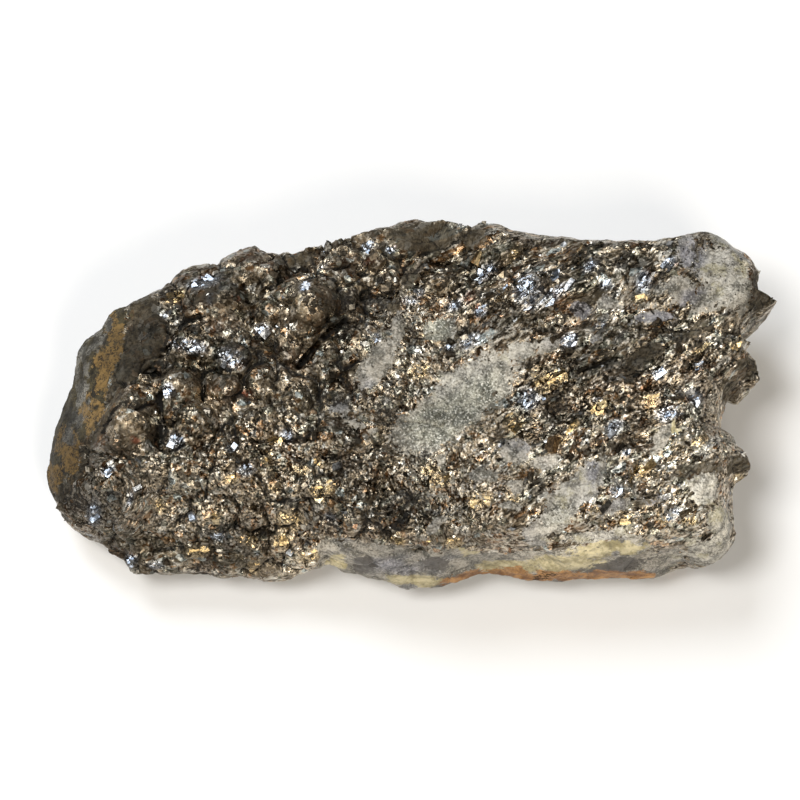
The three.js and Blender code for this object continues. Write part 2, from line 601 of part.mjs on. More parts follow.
function fuseCrystals(stone) {
  const ground = new THREE.Mesh(stone, new THREE.MeshBasicMaterial());
  const ray = new THREE.Raycaster();
  const down = new THREE.Vector3(0, 0, -1);
  let solid = solidOf(stone);
  CRYSTALS.flatMap((crystal) => [crystal, twinOf(crystal)]).forEach((crystal, salt) => {
    ray.set(new THREE.Vector3(crystal[0], crystal[1], 2 * PLATEAU_HEIGHT), down);
    const [hit] = ray.intersectObject(ground);
    solid = solid.add(solidOf(crystalGeometry(crystal, hit.point.z, salt)));
  });
  return geometryOf(solid);
}

// ---- The finished part ----------------------------------------------------------------

function pyriteRock() {
  const geometry = fuseCrystals(indexedGeometry(vertices, triangles));
  geometry.computeBoundingBox();
  const { min, max } = geometry.boundingBox;
  geometry.translate(-(min.x + max.x) / 2, -(min.y + max.y) / 2, -min.z);
  geometry.computeVertexNormals();
  const material = new THREE.MeshStandardMaterial({
    color: 0x8a7f6c,
    roughness: 0.45,
    metalness: 0.7,
    flatShading: true,
  });
  const mesh = new THREE.Mesh(geometry, material);
  mesh.name = 'pyrite_rock';
  return mesh;
}

const rawPyrite = new THREE.Group();
rawPyrite.add(pyriteRock());

export default rawPyrite;
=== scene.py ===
"""Raw pyrite: the looks of one hand-sized stone of granular pyrite and quartz.

The solid's own mesh is refined and given relief, thousands of grains are set on it, and one
procedural material tells metal, quartz and rind apart by shares that the mesh carries. Each
pattern's salt is a whole number that keeps it unlike the others.
"""
import math

import bpy
import numpy as np
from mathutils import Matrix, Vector


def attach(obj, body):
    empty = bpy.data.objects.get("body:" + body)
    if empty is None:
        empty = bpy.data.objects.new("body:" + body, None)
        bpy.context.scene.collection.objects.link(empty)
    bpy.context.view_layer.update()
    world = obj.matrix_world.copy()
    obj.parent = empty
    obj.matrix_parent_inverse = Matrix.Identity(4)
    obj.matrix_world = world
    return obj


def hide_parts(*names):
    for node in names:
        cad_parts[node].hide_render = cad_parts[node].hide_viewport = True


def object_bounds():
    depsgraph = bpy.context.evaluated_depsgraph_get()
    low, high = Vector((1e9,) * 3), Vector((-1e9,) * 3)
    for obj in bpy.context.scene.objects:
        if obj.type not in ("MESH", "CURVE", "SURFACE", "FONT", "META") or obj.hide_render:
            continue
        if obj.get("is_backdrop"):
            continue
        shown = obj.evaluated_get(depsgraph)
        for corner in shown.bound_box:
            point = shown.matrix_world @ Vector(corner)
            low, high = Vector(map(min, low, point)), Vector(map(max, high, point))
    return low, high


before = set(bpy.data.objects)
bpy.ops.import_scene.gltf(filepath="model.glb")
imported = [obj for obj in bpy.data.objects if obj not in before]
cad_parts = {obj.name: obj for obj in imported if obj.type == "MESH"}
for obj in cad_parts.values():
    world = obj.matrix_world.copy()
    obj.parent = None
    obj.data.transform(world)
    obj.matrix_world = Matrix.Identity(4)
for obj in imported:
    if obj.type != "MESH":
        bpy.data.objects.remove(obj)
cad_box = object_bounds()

MM = 0.001
PICTURE_SIZE = 800

# ---- Camera: it looks steeply down on the pyrite face from the near side --------------

CAMERA_ELEVATION = math.radians(70)
CAMERA_LENS = 180.0
CAMERA_SENSOR = 36.0
VIEW_WIDTH = 132.4 * MM
CAMERA_TARGET = np.array([-0.87, -1.71, 18.7]) * MM
CAMERA_CENTRE = (404.5, 403.0)  # the picture point that the target is seen at
CAMERA_DISTANCE = VIEW_WIDTH * CAMERA_LENS / CAMERA_SENSOR
TO_CAMERA = np.array([0.0, -math.cos(CAMERA_ELEVATION), math.sin(CAMERA_ELEVATION)])
PICTURE_UP = np.array([0.0, math.sin(CAMERA_ELEVATION), math.cos(CAMERA_ELEVATION)])
CAMERA_PLACE = CAMERA_TARGET + CAMERA_DISTANCE * TO_CAMERA


def make_camera():
    data = bpy.data.cameras.new("camera")
    data.lens = CAMERA_LENS
    data.sensor_width = CAMERA_SENSOR
    data.clip_end = 10
    data.shift_x = (PICTURE_SIZE / 2 - CAMERA_CENTRE[0]) / PICTURE_SIZE
    data.shift_y = (CAMERA_CENTRE[1] - PICTURE_SIZE / 2) / PICTURE_SIZE
    camera = bpy.data.objects.new("camera", data)
    bpy.context.scene.collection.objects.link(camera)
    camera.location = CAMERA_PLACE
    camera.rotation_euler = (math.pi / 2 - CAMERA_ELEVATION, 0, 0)
    bpy.context.scene.camera = camera


def picture_place(points):
    """Where the camera sees points, in the picture's pixels from its top left corner."""
    seen = points - CAMERA_PLACE
    depth = -(seen @ TO_CAMERA)
    pixels = PICTURE_SIZE * CAMERA_DISTANCE / VIEW_WIDTH / depth
    u = CAMERA_CENTRE[0] + pixels * seen[:, 0]
    v = CAMERA_CENTRE[1] - pixels * (seen @ PICTURE_UP)
    return u, v


# Where the two lights that the grains mirror come from.
COOL_LIGHT = np.array([-0.35, 0.45, 0.82])
WARM_LIGHT = np.array([0.30, -0.62, 0.72])


def unit(vectors):
    return vectors / np.maximum(np.linalg.norm(vectors, axis=-1, keepdims=True), 1e-12)


# ---- Numbers that look random but are the same every time -----------------------------

def hashed(cells, salt):
    """A number from 0 to 1 for each whole-number place."""
    whole = cells.astype(np.int64).astype(np.uint64)
    h = whole[..., 0] * np.uint64(374761393) + whole[..., 1] * np.uint64(668265263)
    h = h + whole[..., 2] * np.uint64(1274126177) + np.uint64(salt * 974634777)
    h = (h ^ (h >> np.uint64(15))) * np.uint64(2246822519) & np.uint64(0xFFFFFFFF)
    h = (h ^ (h >> np.uint64(13))) * np.uint64(3266489917) & np.uint64(0xFFFFFFFF)
    return (h ^ (h >> np.uint64(16))).astype(float) / 4294967295.0


def hashed_rows(cells, salt):
    """Three such numbers for each place."""
    return np.stack([hashed(cells, salt + k) for k in range(3)], axis=1)


def noise(points, size, salt):
    """Smooth noise from -1 to 1 whose bumps are about size across."""
    place = points / size
    base = np.floor(place)
    share = place - base
    share = share * share * (3 - 2 * share)
    total = np.zeros(len(points))
    for corner in np.ndindex(2, 2, 2):
        weight = np.prod(np.where(corner, share, 1 - share), axis=1)
        total += weight * hashed(base + corner, salt)
    return 2 * total - 1


def rough_noise(points, size, salt, octaves=3):
    total = np.zeros(len(points))
    for octave in range(octaves):
        total += noise(points, size / 2**octave, salt + octave) / 2**octave
    return total


def nearest_cells(points, size, salt):
    """For each point the cell of broken stone it lies in: its place, seed and edge distance."""
    place = points / size
    base = np.floor(place)
    nearest = np.full(len(points), np.inf)
    second = np.full(len(points), np.inf)
    cells = np.zeros_like(points)
    seeds = np.zeros_like(points)
    for step in np.ndindex(3, 3, 3):
        cell = base + np.array(step) - 1
        seed = cell + hashed_rows(cell, salt)
        distance = np.linalg.norm(seed - place, axis=1)
        closer = distance < nearest
        second = np.where(closer, nearest, np.minimum(second, distance))
        nearest = np.where(closer, distance, nearest)
        cells[closer] = cell[closer]
        seeds[closer] = seed[closer]
    return cells, seeds * size, (second - nearest) * size


def smoothstep(value, low, high):
    share = np.clip((value - low) / (high - low), 0, 1)
    return share * share * (3 - 2 * share)


# ---- Places in the picture ------------------------------------------------------------

# Ovals, in the picture's pixels, as (across, down, half length, half width, turn): the turn is
# anticlockwise in degrees, and is left out where there is none.
QUARTZ_OVALS = [
    (377, 364, 28, 13, 62), (397, 331, 8, 16), (441, 329, 18, 12, 15), (521, 348, 19, 9, 12),
    (462, 402, 76, 27, 42), (425, 428, 40, 26, 30), (480, 385, 45, 24, 40), (575, 493, 47, 17, 48),
    (562, 512, 26, 16, 40), (540, 532, 14, 14), (545, 461, 13, 7, 10), (483, 476, 14, 8),
    (443, 463, 5, 8), (514, 452, 12, 12), (437, 526, 14, 5, 42), (514, 488, 10, 8), (509, 508, 11, 5),
    (341, 408, 9, 6), (357, 423, 7, 5), (370, 431, 5, 4), (722, 268, 24, 28), (735, 290, 12, 24),
    (712, 300, 26, 14, 20), (717, 237, 12, 6, -30), (690, 250, 8, 16), (654, 316, 19, 8, 12),
    (579, 313, 10, 10), (609, 305, 14, 6), (683, 290, 14, 14), (547, 346, 9, 8, 30), (643, 261, 5, 5),
    (705, 488, 15, 17), (720, 535, 10, 30), (618, 505, 18, 7, 25), (664, 436, 22, 6, 52),
    (634, 543, 14, 7), (596, 338, 6, 5), (706, 553, 22, 14), (655, 560, 30, 10, 10),
    (600, 535, 30, 8, 5),
]
# Paler quartz, and quartz stained grey green or lilac.
PALE_OVALS = [
    (698, 532, 34, 42), (575, 488, 44, 20, 48), (718, 270, 34, 34), (715, 500, 34, 60),
    (590, 530, 60, 16, 5), (512, 350, 30, 11, 12), (470, 372, 48, 9, 36), (425, 452, 24, 7, 8),
    (520, 385, 12, 20, -40),
]
GREEN_OVALS = [
    (458, 410, 56, 22, 42), (428, 424, 30, 18, 20), (432, 330, 24, 18), (560, 512, 18, 9, 30),
]
VIOLET_OVALS = [
    (694, 258, 13, 20), (664, 316, 20, 8, 12), (612, 345, 8, 12), (578, 312, 16, 12),
    (690, 300, 16, 8, 30), (640, 320, 20, 6, 20), (592, 470, 8, 14), (470, 312, 16, 6, 20),
    (395, 566, 26, 8), (630, 470, 16, 8, 10), (660, 500, 14, 10),
]
# Where the pyrite is all sugary, glittering grains.
GLITTER_OVALS = [
    (235, 485, 110, 62, 10), (420, 490, 90, 46), (690, 370, 66, 90), (650, 500, 90, 50),
    (305, 550, 50, 26), (420, 400, 60, 70), (560, 420, 60, 60, 40), (440, 300, 90, 30, 10),
]
# Where the left half has the slanting fabric that the right half has all over.
FABRIC_OVALS = [(92, 498, 46, 42)]
# Where the stone's colour is made lighter, and where darker: partly its own tone, partly painted light
# and painted shade.
LIGHTER_AND_LIT_OVALS = [
    (305, 552, 46, 30, 10), (312, 306, 24, 20), (718, 375, 34, 60), (500, 385, 24, 18, 30),
    (312, 312, 24, 20), (560, 452, 28, 16), (600, 512, 26, 16), (655, 385, 26, 16), (310, 478, 20, 14),
    (690, 470, 60, 44), (650, 400, 60, 30, 10), (560, 318, 26, 18, 30), (212, 402, 28, 18),
    (133, 412, 24, 22), (440, 448, 28, 18), (570, 542, 60, 20, 5), (660, 520, 70, 30),
    (425, 368, 26, 18), (715, 500, 30, 60), (440, 318, 26, 16), (190, 512, 22, 14),
]
DARKER_AND_SHADED_OVALS = [
    (410, 505, 44, 26), (90, 490, 50, 46), (330, 480, 40, 40), (195, 292, 60, 26, 22),
    (140, 350, 40, 34), (600, 365, 80, 16, 20), (500, 318, 22, 16, 20), (640, 284, 30, 12),
    (630, 262, 20, 10), (340, 380, 22, 40), (345, 315, 30, 26), (110, 550, 50, 24), (230, 545, 50, 20),
    (530, 398, 40, 12, 20), (250, 350, 40, 16), (585, 415, 26, 12), (70, 460, 22, 50, 10),
]
# A faint scatter of quartz between the grains.
HAZE_OVALS = [
    (640, 505, 110, 46), (470, 480, 80, 40, 10), (480, 345, 110, 30, 25), (660, 300, 100, 26, 8),
    (400, 330, 40, 50), (350, 420, 36, 26), (700, 430, 50, 40),
]
# The rind and the olive matt pyrite lie left of their lines and the quartz wall below its own,
# and the rind has one bleached strip.
RIND_LINE = [
    (128, 306), (125, 330), (120, 350), (113, 375), (104, 400), (98, 425), (82, 447), (76, 468),
    (62, 484), (50, 500),
]
GREY_STRIP = [(104, 322), (90, 343), (81, 368), (84, 395), (79, 416), (70, 440)]
OLIVE_LINE = [
    (152, 290), (160, 310), (168, 330), (162, 354), (150, 366), (132, 382), (118, 400), (108, 428),
    (92, 450), (86, 470), (74, 486), (60, 505),
]
BAND_LINE = [
    (312, 560), (322, 540), (345, 537), (380, 545), (420, 551), (455, 549), (500, 553), (560, 548),
    (620, 541), (650, 546), (665, 562), (700, 585),
]
# Matt olive pyrite, painted shade in hollows and on shadowed walls, and tan crust.
OLIVE_OVALS = [
    (296, 257, 18, 8, 5), (424, 238, 34, 16), (473, 238, 14, 10), (389, 306, 12, 8), (410, 278, 8, 8),
    (642, 358, 20, 9, 25), (756, 294, 12, 20), (746, 370, 14, 11), (730, 390, 12, 12),
    (700, 470, 26, 9, 5), (738, 466, 12, 10), (645, 502, 10, 5), (205, 300, 14, 8, 20),
    (590, 300, 20, 5, 30), (690, 335, 20, 6, 25),
]
SHADED_HOLLOW_OVALS = [
    (372, 300, 15, 11, -20), (344, 302, 18, 16), (160, 366, 13, 9, 20), (346, 320, 8, 14),
    (556, 408, 15, 11, 20), (572, 314, 30, 6, 26), (628, 428, 20, 8), (78, 500, 20, 14, -30),
    (360, 258, 9, 6), (205, 572, 20, 8), (545, 575, 10, 5), (240, 350, 14, 8, -30),
    (425, 458, 12, 8, 30), (410, 500, 22, 11), (385, 415, 14, 20), (330, 400, 22, 12),
]
TAN_OVALS = [
    (312, 308, 22, 22), (131, 430, 22, 23), (375, 262, 12, 8), (440, 285, 18, 12), (205, 405, 12, 10),
    (345, 247, 12, 8), (225, 305, 12, 10), (265, 565, 20, 8),
]
# Yellow and orange limonite, dark layers in the quartz wall and spots of red rust.
YELLOW_OVALS = [
    (606, 549, 38, 7, 3), (568, 563, 40, 8, 2), (510, 566, 32, 6), (416, 581, 30, 7),
    (336, 562, 9, 8, -35), (470, 549, 16, 5), (676, 429, 5, 9),
]
ORANGE_OVALS = [
    (470, 579, 32, 9, 10), (512, 575, 32, 8, -4), (560, 576, 36, 7), (618, 576, 42, 6),
    (116, 340, 11, 28, 12), (106, 372, 10, 26, 12), (92, 412, 12, 24, 15), (70, 452, 13, 28, 15),
    (57, 482, 9, 16, 20),
]
LAYER_OVALS = [(612, 567, 36, 6, 12), (365, 566, 12, 6), (436, 564, 13, 6), (585, 574, 20, 4)]
RED_OVALS = [
    (469, 295, 5, 5), (477, 306, 3, 3), (366, 261, 5, 4), (134, 437, 4, 3), (240, 300, 4, 4),
    (245, 395, 5, 4),
]
# The regions that are drawn as ovals, and how softly each fades at the edges.
OVAL_REGIONS = {
    "light": (LIGHTER_AND_LIT_OVALS, 0.5), "darker_and_shaded": (DARKER_AND_SHADED_OVALS, 0.5), "pale": (PALE_OVALS, 0.4),
    "green": (GREEN_OVALS, 0.4), "violet": (VIOLET_OVALS, 0.5), "glitter": (GLITTER_OVALS, 0.5),
    "yellow": (YELLOW_OVALS, 0.5), "orange": (ORANGE_OVALS, 0.5), "layer": (LAYER_OVALS, 0.5),
    "dark": (SHADED_HOLLOW_OVALS, 0.6), "tan": (TAN_OVALS, 0.5), "red": (RED_OVALS, 0.6),
}

# Cracks as lists of picture points, each with its half width in pixels and its depth in
# millimetres.
CRACKS = [
    ([(204, 373), (205, 388), (202, 403)], 2.4, 1.5), ([(193, 369), (203, 375), (215, 370)], 2.0, 1.2),
    ([(345, 322), (322, 341), (300, 366)], 3.0, 1.8), ([(272, 286), (284, 277), (294, 272)], 4.0, 1.6),
    ([(322, 266), (335, 269), (350, 266)], 1.8, 1.2), ([(358, 272), (372, 274), (386, 264)], 2.0, 1.2),
    ([(428, 259), (448, 262), (470, 268)], 1.5, 1.0), ([(402, 271), (414, 271), (424, 262)], 1.5, 1.0),
    ([(160, 397), (162, 418), (160, 443)], 3.6, 1.8), ([(181, 402), (175, 420), (163, 440)], 2.4, 1.4),
    ([(207, 447), (220, 431), (234, 416)], 2.0, 1.3), ([(222, 425), (225, 448)], 1.8, 1.2),
    ([(234, 424), (239, 447)], 1.8, 1.2), ([(162, 447), (176, 450), (186, 446)], 2.0, 1.2),
    ([(214, 452), (208, 472), (205, 498)], 1.7, 1.0), ([(120, 386), (138, 383), (152, 387)], 1.8, 1.0),
    ([(121, 403), (140, 408), (158, 402)], 2.8, 1.4), ([(103, 431), (111, 413), (121, 404)], 3.0, 1.3),
    ([(298, 436), (305, 438), (313, 431)], 3.0, 1.4), ([(240, 440), (262, 441), (298, 437)], 1.5, 0.9),
    ([(258, 420), (262, 408), (270, 396)], 1.8, 1.1), ([(225, 498), (236, 500), (240, 512)], 1.8, 1.4),
    ([(307, 505), (325, 520), (345, 534)], 2.0, 0.9), ([(500, 262), (512, 276), (520, 290)], 1.5, 1.0),
    ([(586, 372), (600, 366), (616, 360)], 1.6, 0.9), ([(684, 372), (696, 362), (706, 352)], 1.8, 1.0),
    ([(604, 440), (606, 460), (612, 478)], 1.2, 0.5), ([(282, 250), (290, 264), (310, 270)], 1.8, 1.2),
    ([(344, 348), (352, 336), (356, 322)], 1.6, 0.9), ([(560, 348), (575, 356), (590, 352)], 1.4, 0.9),
    ([(650, 310), (670, 330), (700, 332)], 1.3, 0.8), ([(170, 322), (190, 321), (200, 318)], 2.2, 1.2),
    ([(165, 318), (168, 335), (162, 352)], 2.4, 1.2), ([(285, 404), (292, 430)], 1.6, 1.0),
    ([(318, 380), (322, 402), (318, 430)], 2.2, 1.2), ([(262, 510), (270, 530), (268, 556)], 1.8, 1.0),
    ([(366, 297), (376, 300), (388, 297)], 4.0, 1.6), ([(246, 470), (262, 480), (270, 500)], 1.6, 0.9),
    ([(284, 530), (288, 552), (284, 566)], 1.8, 1.0),
]

# Rounded blocks as ovals, each with how far it stands out and how deep the groove round it is,
# in millimetres.
BLOCKS = [
    ((314, 302, 27, 22, 20), 1.2, 1.0), ((299, 323, 17, 13, 20), 0.5, 0.5),
    ((131, 430, 24, 26), 0.9, 1.0), ((137, 393, 17, 9), 0.5, 0.6), ((223, 387, 19, 13, 10), 0.6, 0.7),
    ((183, 384, 20, 16), 0.6, 0.7), ((199, 412, 23, 11, 10), 0.6, 0.8),
    ((194, 437, 19, 11, 10), 0.5, 0.6), ((283, 261, 13, 8, 20), 0.4, 0.5),
    ((289, 341, 14, 20), 0.5, 0.6), ((392, 278, 9, 11), 0.4, 0.5), ((343, 256, 19, 10, 5), 0.5, 0.7),
    ((372, 256, 13, 15, 30), 0.5, 0.6), ((398, 247, 18, 12), 0.4, 0.6), ((231, 303, 19, 17), 0.5, 0.6),
    ((199, 316, 18, 10, 10), 0.4, 0.5), ((196, 346, 19, 13, -10), 0.4, 0.6),
    ((232, 356, 17, 13), 0.5, 0.6), ((262, 384, 15, 20), 0.5, 0.6), ((255, 428, 15, 18), 0.4, 0.6),
    ((300, 404, 15, 22), 0.4, 0.6), ((204, 290, 17, 11, 20), 0.4, 0.5),
    ((247, 272, 18, 12, 10), 0.4, 0.5), ((265, 312, 12, 15), 0.4, 0.5), ((230, 470, 16, 18), 0.5, 0.6),
    ((184, 476, 18, 14, 20), 0.4, 0.6), ((280, 470, 18, 20), 0.4, 0.5),
    ((322, 488, 18, 13, 20), 0.5, 0.6), ((197, 552, 15, 10, 5), 0.6, 0.6),
    ((229, 560, 18, 13), 0.5, 0.6), ((285, 548, 16, 20, 10), 0.5, 0.6),
    ((310, 556, 17, 14, 20), 0.6, 0.6), ((160, 520, 20, 17, 20), 0.4, 0.6),
    ((213, 518, 18, 14), 0.4, 0.6), ((141, 553, 14, 12), 0.4, 0.5), ((250, 522, 15, 15), 0.4, 0.5),
    ((549, 382, 17, 13, 40), 0.6, 0.7), ((600, 406, 10, 8, 20), 0.6, 0.7),
    ((648, 401, 12, 10), 0.5, 0.6), ((528, 290, 24, 15, 35), 0.4, 0.7),
    ((466, 290, 17, 13, 20), 0.4, 0.5), ((440, 282, 17, 12, 10), 0.4, 0.5),
    ((487, 258, 14, 11, 40), 0.4, 0.5), ((667, 412, 13, 9, 15), 0.4, 0.5),
    ((700, 466, 22, 10, 10), 0.5, 0.6), ((108, 468, 14, 9, 40), 0.4, 0.5),
    ((112, 508, 15, 14, 20), 0.4, 0.5), ((346, 300, 12, 14), 0.3, 0.6),
]

# Groups of faces that shine together, as ovals, by the light they answer to; in them the colour is also
# made brighter and bluer or golder, a painted highlight beside the real reflection.
COOL_GLINTS = [
    (204, 282, 17, 6, 15), (210, 297, 4, 7, -20), (190, 346, 18, 7, -10), (232, 358, 14, 9, -20),
    (167, 390, 6, 7), (164, 316, 4, 4), (367, 247, 7, 4, 30), (486, 272, 13, 6, 40), (528, 292, 13, 18),
    (552, 296, 22, 6, 34), (470, 341, 12, 6, 30), (450, 347, 6, 4, 30), (377, 338, 4, 5),
    (305, 286, 7, 4, 40), (555, 275, 4, 6, -20), (644, 282, 8, 11), (606, 286, 7, 5, 20),
    (601, 325, 6, 4, 30), (568, 341, 9, 7, 35), (658, 373, 6, 5), (698, 365, 5, 5),
    (668, 414, 11, 8, 15), (615, 427, 9, 7, 30), (598, 400, 5, 3), (695, 397, 8, 7), (673, 514, 7, 6),
    (617, 491, 8, 6, 20), (177, 441, 7, 8, 40), (231, 449, 6, 4), (130, 499, 3, 8, -15),
    (94, 514, 7, 12), (131, 560, 6, 7), (156, 565, 8, 4), (193, 517, 4, 4), (219, 537, 7, 4),
    (287, 436, 7, 7, -30), (330, 517, 6, 4, -25), (504, 448, 5, 8), (530, 400, 11, 10, 40),
    (390, 250, 6, 4, 20), (420, 292, 5, 5), (410, 300, 9, 4), (626, 452, 4, 4), (480, 312, 7, 5, 20),
    (108, 470, 8, 5, 30), (246, 470, 8, 6), (262, 330, 8, 6), (590, 266, 8, 5, 30),
    (670, 262, 8, 5, 30), (455, 305, 8, 5, 30),
]
WARM_GLINTS = [
    (549, 380, 15, 13, 40), (601, 407, 9, 7, 20), (571, 427, 5, 4), (739, 479, 6, 6), (664, 522, 4, 4),
    (625, 517, 6, 6), (643, 471, 13, 8, 20), (268, 457, 7, 6, 40), (278, 442, 7, 4), (275, 489, 6, 5),
    (197, 552, 13, 6, 5), (216, 517, 6, 4), (254, 567, 7, 6), (283, 541, 10, 9), (310, 556, 11, 6, 20),
    (323, 491, 13, 8, 20), (319, 462, 4, 5, 20), (453, 543, 9, 5), (513, 500, 7, 5, 25),
    (514, 423, 10, 8, 35), (398, 540, 8, 5, -25), (515, 252, 8, 5, 60), (477, 256, 3, 7, -10),
    (650, 400, 8, 8), (176, 296, 10, 6, 40), (440, 480, 12, 8), (430, 470, 10, 6), (290, 520, 14, 10),
    (160, 505, 8, 6), (700, 350, 8, 4, 30), (735, 345, 6, 4, 30), (300, 470, 10, 6),
    (480, 500, 12, 8, 20), (640, 300, 6, 4, 20), (560, 440, 8, 5, 20), (420, 370, 12, 8, 20),
    (250, 540, 10, 7), (230, 480, 8, 5), (690, 520, 8, 6), (700, 440, 10, 4, 30),
]


def oval_distance(u, v, cu, cv, half_length, half_width, turn=0):
    """0 at an oval's centre, 1 on its edge and more outside it."""
    angle = math.radians(turn)
    du, dv = u - cu, cv - v
    along = (du * math.cos(angle) + dv * math.sin(angle)) / half_length
    across = (-du * math.sin(angle) + dv * math.cos(angle)) / half_width
    return np.hypot(along, across)


def ovals_share(u, v, ovals, fade=0.35):
    """1 inside any of the ovals, 0.5 on its edge and 0 well outside them all."""
    share = np.zeros(len(u))
    for oval in ovals:
        share = np.maximum(share, 1 - smoothstep(oval_distance(u, v, *oval), 1 - fade, 1 + fade))
    return share


def line_distance(u, v, line):
    """The distance in pixels to a line of picture points."""
    best = np.full(len(u), np.inf)
    for (ua, va), (ub, vb) in zip(line, line[1:]):
        length = (ub - ua) ** 2 + (vb - va) ** 2
        t = np.clip(((u - ua) * (ub - ua) + (v - va) * (vb - va)) / length, 0, 1)
        best = np.minimum(best, np.hypot(u - ua - t * (ub - ua), v - va - t * (vb - va)))
    return best


def beside_line(u, v, line, fade):
    """1 on the left of a line that runs down the picture, 0 on its right."""
    acrosses, downs = zip(*line)
    return 1 - smoothstep(u - np.interp(v, downs, acrosses), -fade, fade)


def below_line(u, v, line, fade):
    """1 below a line that runs across the picture, 0 above it."""
    return smoothstep(v - np.interp(u, *zip(*line)), -fade, fade)


# ---- The stone's surface --------------------------------------------------------------

# The underside is kept flat: points lower than this stay where they are.
BASE_HOLD = 0.02 * MM
# The layers of the right half slant this much up the picture.
FOLIATION = math.radians(38)
ALONG = np.array([math.cos(FOLIATION), math.sin(FOLIATION), 0.0])
# The broken blocks of the left half, and the chunks that are all over the stone.
BLOCK_SIZE = 7.6 * MM
CHUNK_SIZE = 2.7 * MM
# How far the edges of the regions wander, in pixels, and those of cracks and blocks.
REGION_WANDER = 4.5
CRACK_WANDER = 3.0
# How far a point may stand from the mean of its neighbours.
SPIKE_LIMIT = 0.22 * MM


def mesh_arrays(node):
    """The points and triangles of a CAD node, with points at one place joined."""
    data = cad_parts[node].data
    points = np.zeros(len(data.vertices) * 3)
    data.vertices.foreach_get("co", points)
    points = points.reshape(-1, 3)
    data.calc_loop_triangles()
    triangles = np.zeros(len(data.loop_triangles) * 3, np.int32)
    data.loop_triangles.foreach_get("vertices", triangles)
    keys = np.round(points / 1e-6).astype(np.int64)
    _, first, back = np.unique(keys, axis=0, return_index=True, return_inverse=True)
    triangles = back.reshape(-1)[triangles].reshape(-1, 3)
    good = (
        (triangles[:, 0] != triangles[:, 1])
        & (triangles[:, 1] != triangles[:, 2])
        & (triangles[:, 2] != triangles[:, 0])
    )
    return points[first], triangles[good]


def refined(points, triangles, wanted):
    """Triangles split at the middles of the sides that are wanted, with no gaps between."""
    sides = np.sort(triangles[:, [0, 1, 1, 2, 2, 0]].reshape(-1, 2), axis=1)
    unique, back = np.unique(sides, axis=0, return_inverse=True)
    split = wanted(unique)
    middle = np.full(len(unique), -1)
    middle[split] = len(points) + np.arange(split.sum())
    middles = middle[back.reshape(-1)].reshape(-1, 3)
    points = np.concatenate([points, points[unique[split]].mean(axis=1)])
    count = (middles >= 0).sum(axis=1)
    made = [triangles[count == 0]]
    a, b, c = triangles[count == 3].T
    ab, bc, ca = middles[count == 3].T
    made += [np.stack(t, axis=1) for t in ((a, ab, ca), (ab, b, bc), (ca, bc, c), (ab, bc, ca))]
    for turn in range(3):
        corners = np.roll(triangles, -turn, axis=1)
        ab, bc, ca = np.roll(middles, -turn, axis=1).T
        one = (count == 1) & (ab >= 0)
        a, b, c = corners[one].T
        made += [np.stack(t, axis=1) for t in ((a, ab[one], c), (ab[one], b, c))]
        two = (count == 2) & (ca < 0)
        a, b, c = corners[two].T
        m, n = ab[two], bc[two]
        made += [np.stack(t, axis=1) for t in ((a, m, n), (m, b, n), (a, n, c))]
    return points, np.concatenate(made)


def everywhere(sides):
    return np.ones(len(sides), bool)


def vertex_normals(points, triangles):
    a, b, c = points[triangles].transpose(1, 0, 2)
    face = np.cross(b - a, c - a)
    normals = np.zeros_like(points)
    for k in range(3):
        for axis in range(3):
            normals[:, axis] += np.bincount(triangles[:, k], face[:, axis], len(points))
    return unit(normals)


def neighbour_means(values, triangles):
    sides = np.concatenate([triangles[:, [0, 1]], triangles[:, [1, 2]], triangles[:, [2, 0]]])
    count = np.maximum(np.bincount(sides[:, 0], minlength=len(values)), 1)
    columns = range(values.shape[1])
    sums = [np.bincount(sides[:, 0], values[sides[:, 1], k], len(values)) for k in columns]
    return np.stack(sums, axis=1) / count[:, None]


def broad_normals(points, triangles, rounds):
    """Normals of the surface's larger shape, with its small facets evened out."""
    normals = vertex_normals(points, triangles)
    for _ in range(rounds):
        normals = unit(normals + neighbour_means(normals, triangles))
    return normals


def relaxed(points, triangles, strength, rounds):
    """Points moved towards the mean of their neighbours, except those on the flat base."""
    held = points[:, 2] < BASE_HOLD
    for _ in range(rounds):
        moved = points + strength * (neighbour_means(points, triangles) - points)
        points = np.where(held[:, None], points, moved)
    return points


def layer_space(points, stretch):
    """Points squeezed along the layers of the right half, so that patterns lie long there."""
    along = points @ ALONG
    amount = (1 - 1 / stretch) * smoothstep(points[:, 0], 2 * MM, 20 * MM)
    return points - (along * amount)[:, None] * ALONG


